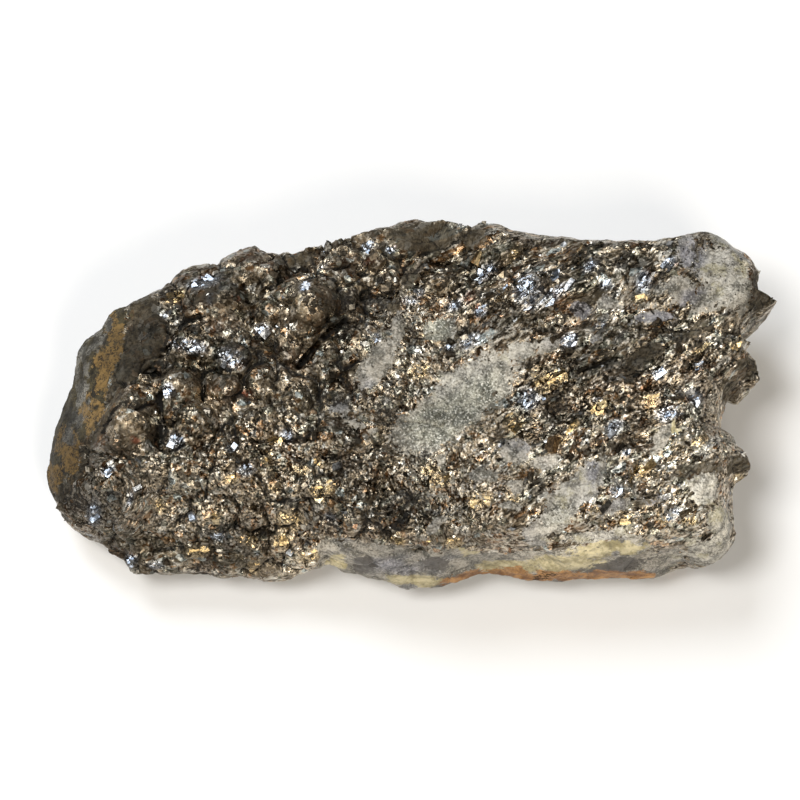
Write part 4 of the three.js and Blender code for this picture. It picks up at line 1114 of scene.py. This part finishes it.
# Single colours on the metal, in the quartz and all over the stone.
PALE_GRAIN = (0.62, 0.58, 0.5)
BROWN_TARNISH = (0.16, 0.09, 0.055)
OLIVE_TARNISH = (0.09, 0.088, 0.06)
COPPER_TINT = (0.95, 0.7, 0.5)
STEEL_TINT = (0.8, 0.92, 1.0)
LIGHT_STREAK = (0.58, 0.52, 0.43)
DARK_STREAK = (0.022, 0.017, 0.012)
YELLOW_STAIN = (0.42, 0.38, 0.22)
DARK_BLOT = (0.06, 0.053, 0.04)
DARK_GRIT = (0.05, 0.043, 0.03)
PALE_GRIT = (0.72, 0.7, 0.63)
PYRITE_SPECK = (0.035, 0.03, 0.023)
QUARTZ_TINT = (0.88, 0.87, 0.85)
DARK_LAYER = (0.075, 0.065, 0.055)
RIND_PEPPER = (0.016, 0.013, 0.01)
MATT_GRIT = (0.012, 0.009, 0.005)
TAN_CRUST = (0.14, 0.108, 0.07)
RED_RUST = (0.22, 0.045, 0.02)
# Painted shade: the near black laid into cracks, gaps and shaded hollows.
PAINTED_CRACK_SHADE = (0.009, 0.007, 0.005)

# The flat faces of the metal, in millimetres, and the lumps in which they lie alike.
CHIP_SIZE, GRAIN_SIZE, PLATE_SIZE, LUMP_SIZE = 0.36, 1.15, 1.9, 4.5


class StoneNodes(Nodes):
    """The stone's material, which reads from the mesh what each point is made of and where it paints
    light and shade.
    """

    def __init__(self):
        super().__init__("stone")
        self.fine, self.grit = self.noise(1.1, 4.0, 0.6), self.noise(0.36, 4.0, 0.75)
        self.cloud = self.noise_span(2.6, 8.0, 0.7, 0.39, 0.62)
        self.ragged = self.plus(self.swing(self.fine, 1.7), self.swing(self.noise(0.4, 2.0), 0.9))
        self.quartz, self.rind = self.region("quartz"), self.region("rind")
        self.orange, self.olive = self.region("orange"), self.region("olive", 0.35, 0.7)
        self.specks = self.times(
            self.noise_span(0.42, 3.0, 0.6, 0.56, 0.64), self.noise_span(2.0, 2.0, 0.55, 0.45, 0.6)
        )
        # Painted shade: cracks, the dark ovals at half strength and the gaps between blocks, torn at
        # their edges.
        shade = self.most(self.value("crack"), self.times(self.value("dark"), 0.5), self.value("gap"))
        self.shade = self.span(self.plus(shade, self.swing(self.noise(0.7, 4.0, 0.7), 2.2)), 0.3, 0.62)
        self.sugary, self.layered = self.value("glitter"), self.value("layered")
        self.make_faces()
        self.put(self.surface.inputs["Base Color"], self.colour())
        self.set_gloss()
        self.lean_faces()

    def region(self, name, low=0.42, high=0.58):
        """A region's share with a ragged edge."""
        return self.span(self.plus(self.value(name), self.ragged), low, high)

    def make_faces(self):
        """The metal's flat faces as random cells, and the streaks that are drawn out on them."""
        along = tuple(ALONG)
        squeeze = self.times(self.dot(self.coords, along), self.times(self.layered, 0.48))
        squeezed = self.vector("SUBTRACT", self.coords, self.scaled(along, squeeze))
        inputs = {"Vector": self.coords, "Scale": 1 / (0.9 * MM), "Detail": 2.0}
        bend = self.centred(self.add("ShaderNodeTexNoise", inputs).outputs["Color"])
        bent = self.vector("ADD", squeezed, self.vector("MULTIPLY", bend, (0.9 * MM,) * 3))
        sizes = (CHIP_SIZE, GRAIN_SIZE, PLATE_SIZE, LUMP_SIZE)
        self.chips, self.grains, self.plates, lumps = (self.cells(size, bent) for size in sizes)
        self.chip = self.channels(self.chips)
        lie = self.vector("ADD", self.centred(lumps), self.scaled(along, self.layered))
        lie = self.vector("NORMALIZE", lie)
        reach = self.times(self.dot(self.coords, lie), 0.7)
        drawn = self.vector("SUBTRACT", self.coords, self.scaled(lie, reach))
        self.streaks = self.noise(0.5, 3.0, 0.6, drawn)
        gloss = self.span(self.noise(2.4, 2.0, 0.5, squeezed), 0.42, 0.6)
        self.gloss = self.most(gloss, self.times(self.sugary, 0.8))

    def metal(self):
        """Dark brassy metal, every face of it with its own tone, tarnish and streaks, and painted
        highlights where it shines with the cool and warm lamps.
        """
        grain, plate, chip = self.channels(self.grains), self.channels(self.plates), self.chip
        level = self.blend(0.5, plate["Red"], grain["Blue"])
        level = self.blend(0.5, self.blend(self.sugary, level, chip["Red"]), chip["Red"])
        metal = self.mix(self.gloss, self.mix(level, *DULL_METAL), self.mix(level, *BRIGHT_METAL))
        metal = self.mix(self.span(grain["Green"], 0.86, 0.92), metal, PALE_GRAIN)
        for size, most, tarnish in ((7.0, 0.35, BROWN_TARNISH), (8.5, 0.4, OLIVE_TARNISH)):
            metal = self.mix(self.noise_span(size, 2.0, 0.55, 0.5, 0.7, 0.0, most), metal, tarnish)
        metal = self.tinted(metal, COPPER_TINT, self.span(grain["Red"], 0.86, 0.9))
        metal = self.tinted(metal, STEEL_TINT, self.span(grain["Red"], 0.2, 0.16))
        share = self.span(self.most(self.sugary, self.layered), 0.0, 1.0, 0.5, 1.0)
        for low, high, most, streak in ((0.5, 0.62, 0.75, LIGHT_STREAK), (0.48, 0.38, 0.85, DARK_STREAK)):
            drawn = self.span(self.streaks, low, high, 0.0, most)
            metal = self.mix(self.times(drawn, share), metal, streak)
        # Painted highlight: the sheens of the two lamps, in streaks over the shining groups.
        for name, sheen in (("cool", COOL_SHEEN), ("warm", WARM_SHEEN)):
            share = self.times(self.value(name), self.span(self.streaks, 0.42, 0.52, 0.35, 1.0))
            metal = self.mix(share, metal, self.mix(chip["Red"], *sheen))
        return metal

    def matrix(self):
        """Milky quartz with its stains, blots, grit, specks of pyrite and limonite."""
        milky, grey = self.mix(self.cloud, *MILKY_QUARTZ), self.mix(self.cloud, *GREY_QUARTZ)
        milky = self.mix(self.noise_span(9.0, 2.0, 0.55, 0.5, 0.68, 0.0, 0.6), milky, grey)
        for name, most, pair in (
            ("green", 0.85, GREEN_QUARTZ), ("pale", 0.65, PALE_QUARTZ), ("violet", 0.7, LILAC_QUARTZ)
        ):
            milky = self.mix(self.times(self.value(name), most), milky, self.mix(self.cloud, *pair))
        stained = self.times(self.noise_span(3.4, 4.0, 0.65, 0.52, 0.66), self.value("pale"), 0.5)
        blots = self.noise_span(6.0, 2.0, 0.55, 0.4, 0.52)
        blots = self.times(self.noise_span(1.1, 5.0, 0.7, 0.55, 0.64), blots, 0.8)
        gritty = self.plus(0.58, self.times(self.value("green"), 0.35))
        for share, colour in (
            (stained, YELLOW_STAIN),
            (blots, DARK_BLOT),
            (self.times(gritty, self.span(self.grit, 0.53, 0.62)), DARK_GRIT),
            (self.times(gritty, self.span(self.grit, 0.46, 0.37)), PALE_GRIT),
            (self.times(self.specks, 0.8), PYRITE_SPECK),
        ):
            milky = self.mix(share, milky, colour)
        milky = self.tinted(milky, QUARTZ_TINT)
        yellow, layer = self.region("yellow", 0.3, 0.75), self.region("layer")
        milky = self.mix(self.times(yellow, 0.85), milky, self.mix(self.cloud, *YELLOW_LIMONITE))
        milky = self.mix(self.times(layer, 0.85), milky, DARK_LAYER)
        return self.mix(self.times(self.orange, 0.9), milky, self.mix(self.cloud, *ORANGE_LIMONITE))

    def worn(self):
        """The rind, with ochre and bleached patches and a pepper of dark pits."""
        ochre = self.times(self.orange, self.noise_span(3.0, 4.0, 0.6, 0.33, 0.46), 0.85)
        worn = self.mix(ochre, self.mix(self.cloud, *RIND), self.mix(self.fine, *OCHRE_RIND))
        bleached = self.noise_span(2.4, 4.0, 0.6, 0.42, 0.54)
        bleached = self.times(self.region("grey", 0.35, 0.6), bleached)
        worn = self.mix(bleached, worn, self.mix(self.cloud, *BLEACHED_RIND))
        pepper = self.span(self.grit, 0.48, 0.55)
        pepper = self.times(pepper, self.noise_span(1.3, 3.0, 0.6, 0.42, 0.52), 0.9)
        return self.mix(pepper, worn, RIND_PEPPER)

    def colour(self):
        crumbs = self.times(self.plus(self.cloud, self.chip["Red"]), 0.5)
        matt_grit = self.times(self.span(self.grit, 0.5, 0.62), 0.6)
        matt = self.mix(matt_grit, self.mix(crumbs, *MATT_PYRITE), MATT_GRIT)
        colour = self.mix(self.times(self.olive, 0.82), self.metal(), matt)
        colour = self.mix(self.quartz, colour, self.matrix())
        colour = self.mix(self.rind, colour, self.worn())
        colour = self.mix(self.times(self.value("tan"), 0.6), colour, TAN_CRUST)
        colour = self.mix(self.times(self.value("red"), 0.5), colour, RED_RUST)
        # Lighter and darker ovals: partly the stone's own tone, partly painted light and painted shade.
        light, darker_and_shaded = self.times(self.value("light"), 0.5), self.times(self.value("darker_and_shaded"), 0.45)
        colour = self.tinted(colour, self.plus(1.0, self.math("SUBTRACT", light, darker_and_shaded)))
        # Painted shade: cracks, gaps and dark ovals darkened nearly to black.
        colour = self.mix(self.times(self.shade, 0.94), colour, PAINTED_CRACK_SHADE)
        # Painted shade: the colour darkens in the mesh's small hollows, half as much on the quartz.
        hollow = self.span(self.value("hollow"), 0.5, 1.0, 1.0, 0.25)
        faint = self.plus(0.5, self.times(hollow, 0.5))
        return self.tinted(colour, self.blend(self.quartz, hollow, faint))

    def set_gloss(self):
        bare = self.most(self.quartz, self.rind, self.times(self.olive, 0.75))
        shiny = self.math("SUBTRACT", 1.0, bare, clamp=True)
        self.shiny = self.times(shiny, self.math("SUBTRACT", 1.0, self.shade, clamp=True))
        metallic = self.most(self.shiny, self.times(self.specks, self.quartz))
        self.put(self.surface.inputs["Metallic"], metallic)
        rough = self.blend(self.gloss, 0.6, self.span(self.chip["Blue"], 0.0, 1.0, 0.14, 0.36))
        rough = self.blend(self.most(self.value("cool"), self.value("warm")), rough, 0.25)
        for share, value in (
            (self.quartz, 0.5), (self.rind, 0.75), (self.olive, 0.85), (self.shade, 0.95)
        ):
            rough = self.blend(share, rough, value)
        self.put(self.surface.inputs["Roughness"], rough)
        self.surface.inputs["Specular IOR Level"].default_value = 0.3

    def lean_faces(self):
        """Every face's own slant, strong on the metal and faint on the quartz, with fine bumps."""
        slant = self.scaled(self.centred(self.plates), self.span(self.sugary, 0.0, 1.0, 0.85, 0.1))
        for cells, low, high in ((self.grains, 0.6, 0.8), (self.chips, 0.62, 1.15)):
            strength = self.span(self.sugary, 0.0, 1.0, low, high)
            slant = self.vector("ADD", slant, self.scaled(self.centred(cells), strength))
        slant = self.scaled(slant, self.span(self.shiny, 0.0, 1.0, 0.2, 0.75))
        upright = self.add("ShaderNodeNewGeometry").outputs["Normal"]
        leaning = self.vector("ADD", upright, slant)
        for name, light in (("cool", COOL_LIGHT), ("warm", WARM_LIGHT)):
            half = tuple(unit(unit(light) + TO_CAMERA))
            share = self.times(self.value(name), self.span(self.streaks, 0.48, 0.56), 1.1)
            leaning = self.vector("ADD", leaning, self.scaled(half, share))
        bumps = self.plus(self.noise(0.5, 3.0, 0.6), self.times(self.noise(0.18, 2.0), 0.4))
        strength = self.span(self.sugary, 0.0, 1.0, 0.6, 0.8)
        self.bump(bumps, 0.12 * MM, strength, self.vector("NORMALIZE", leaning))


def grain_material():
    n = Nodes("pyrite_grain")
    # The grain's colour holds its painted highlight and painted shade.
    colour = n.add("ShaderNodeAttribute", attribute_name="metal").outputs["Color"]
    colour = n.tinted(colour, n.noise_span(0.5, 4.0, 0.7, 0.36, 0.62, 0.3, 1.2))
    n.put(n.surface.inputs["Base Color"], colour)
    n.surface.inputs["Metallic"].default_value = 1.0
    n.put(n.surface.inputs["Roughness"], n.value("rough"))
    n.bump(n.noise(0.16, 2.0, 0.5), 0.05 * MM, 0.5)
    return n.material


# ---- Building the stone ---------------------------------------------------------------

# What the stone's material reads from the mesh.
REGION_NAMES = (
    *OVAL_REGIONS, "hollow", "layered", "quartz", "rind", "grey", "olive", "crack", "gap", "cool", "warm"
)


def make_stone():
    points, triangles, gap = stone_surface()
    normals = vertex_normals(points, triangles)
    regions = Regions(points, normals)
    regions.gap, regions.hollow = gap, hollows(points, triangles, normals)
    stone, metal = StoneNodes().material, grain_material()
    pieces = []
    for name, part, charts in surface_parts(points, triangles):
        used, back = np.unique(part, return_inverse=True)
        back = back.reshape(-1, 3)
        piece = add_mesh(name, points[used], back)
        lay_out(piece, points[used], back, charts)
        for region in REGION_NAMES:
            add_value(piece, region, getattr(regions, region)[used])
        piece.data.materials.append(stone)
        piece.data.shade_smooth()
        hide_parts("pyrite_rock")
        pieces.append(piece)
    grain_pieces = [grains(kind, points, triangles, regions) for kind in GRAIN_KINDS]
    for piece in [*grain_pieces, placed_crystals(points, normals)]:
        piece.data.materials.append(metal)
        pieces.append(piece)
    for piece in pieces:
        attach(piece, "root")


def surface_parts(points, triangles):
    """The surface in four pieces: three parts of the face, then the sides and underside."""
    a, b, c = points[triangles].transpose(1, 0, 2)
    across = (a + b + c)[:, 0] / 3
    longest = np.max([np.linalg.norm(p - q, axis=1) for p, q in ((a, b), (b, c), (c, a))], axis=0)
    up = vertex_normals(points, triangles)[triangles].mean(axis=1) @ TO_CAMERA
    face = (up > 0.0) & (longest < 1.2 * MM)
    first, second = np.quantile(across[face], (1 / 3, 2 / 3))
    yield "face_left", triangles[face & (across < first)], FACE_CHARTS
    yield "face_middle", triangles[face & (across >= first) & (across < second)], FACE_CHARTS
    yield "face_right", triangles[face & (across >= second)], FACE_CHARTS
    yield "sides_and_underside", triangles[~face], SIDE_CHARTS


# ---- Stage ----------------------------------------------------------------------------

def make_floor():
    bpy.ops.mesh.primitive_plane_add(size=6)
    floor = bpy.context.object
    floor.name = "floor"
    n = Nodes("floor")
    n.surface.inputs["Base Color"].default_value = (0.86, 0.86, 0.86, 1)
    n.surface.inputs["Roughness"].default_value = 0.9
    floor.data.materials.append(n.material)
    floor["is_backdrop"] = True


# The lights: direction, distance, size, power and colour.
LIGHTS = {
    "cool_light": (COOL_LIGHT, 0.9, 0.42, 4.6, (0.92, 0.96, 1.0)),
    "warm_light": (WARM_LIGHT, 0.9, 0.36, 3.6, (1.0, 0.92, 0.8)),
    "key_light": (np.array([-0.35, -0.12, 0.93]), 1.0, 0.4, 5.8, (1.0, 0.98, 0.95)),
}
SKY_COLOUR = (0.95, 0.97, 1.0, 1)
SKY_STRENGTH = 0.12


def make_light():
    """A faint even sky and three soft lamps that all point at the stone."""
    world = bpy.data.worlds.new("world")
    bpy.context.scene.world = world
    world.use_nodes = True
    background = world.node_tree.nodes["Background"]
    background.inputs["Color"].default_value = SKY_COLOUR
    background.inputs["Strength"].default_value = SKY_STRENGTH
    for name, (direction, distance, size, power, colour) in LIGHTS.items():
        data = bpy.data.lights.new(name, "AREA")
        data.shape = "DISK"
        data.size, data.energy, data.color = size, power, colour
        light = bpy.data.objects.new(name, data)
        bpy.context.scene.collection.objects.link(light)
        towards = Vector(unit(direction))
        light.location = Vector(CAMERA_TARGET) + distance * towards
        light.rotation_euler = towards.to_track_quat("Z", "Y").to_euler()
    bpy.context.scene.view_settings.view_transform = "Standard"


make_camera()
make_stone()
make_floor()
make_light()
boxes = {"cad": cad_box, "visual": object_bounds()}
{name: [list(corner) for corner in box] for name, box in boxes.items()}
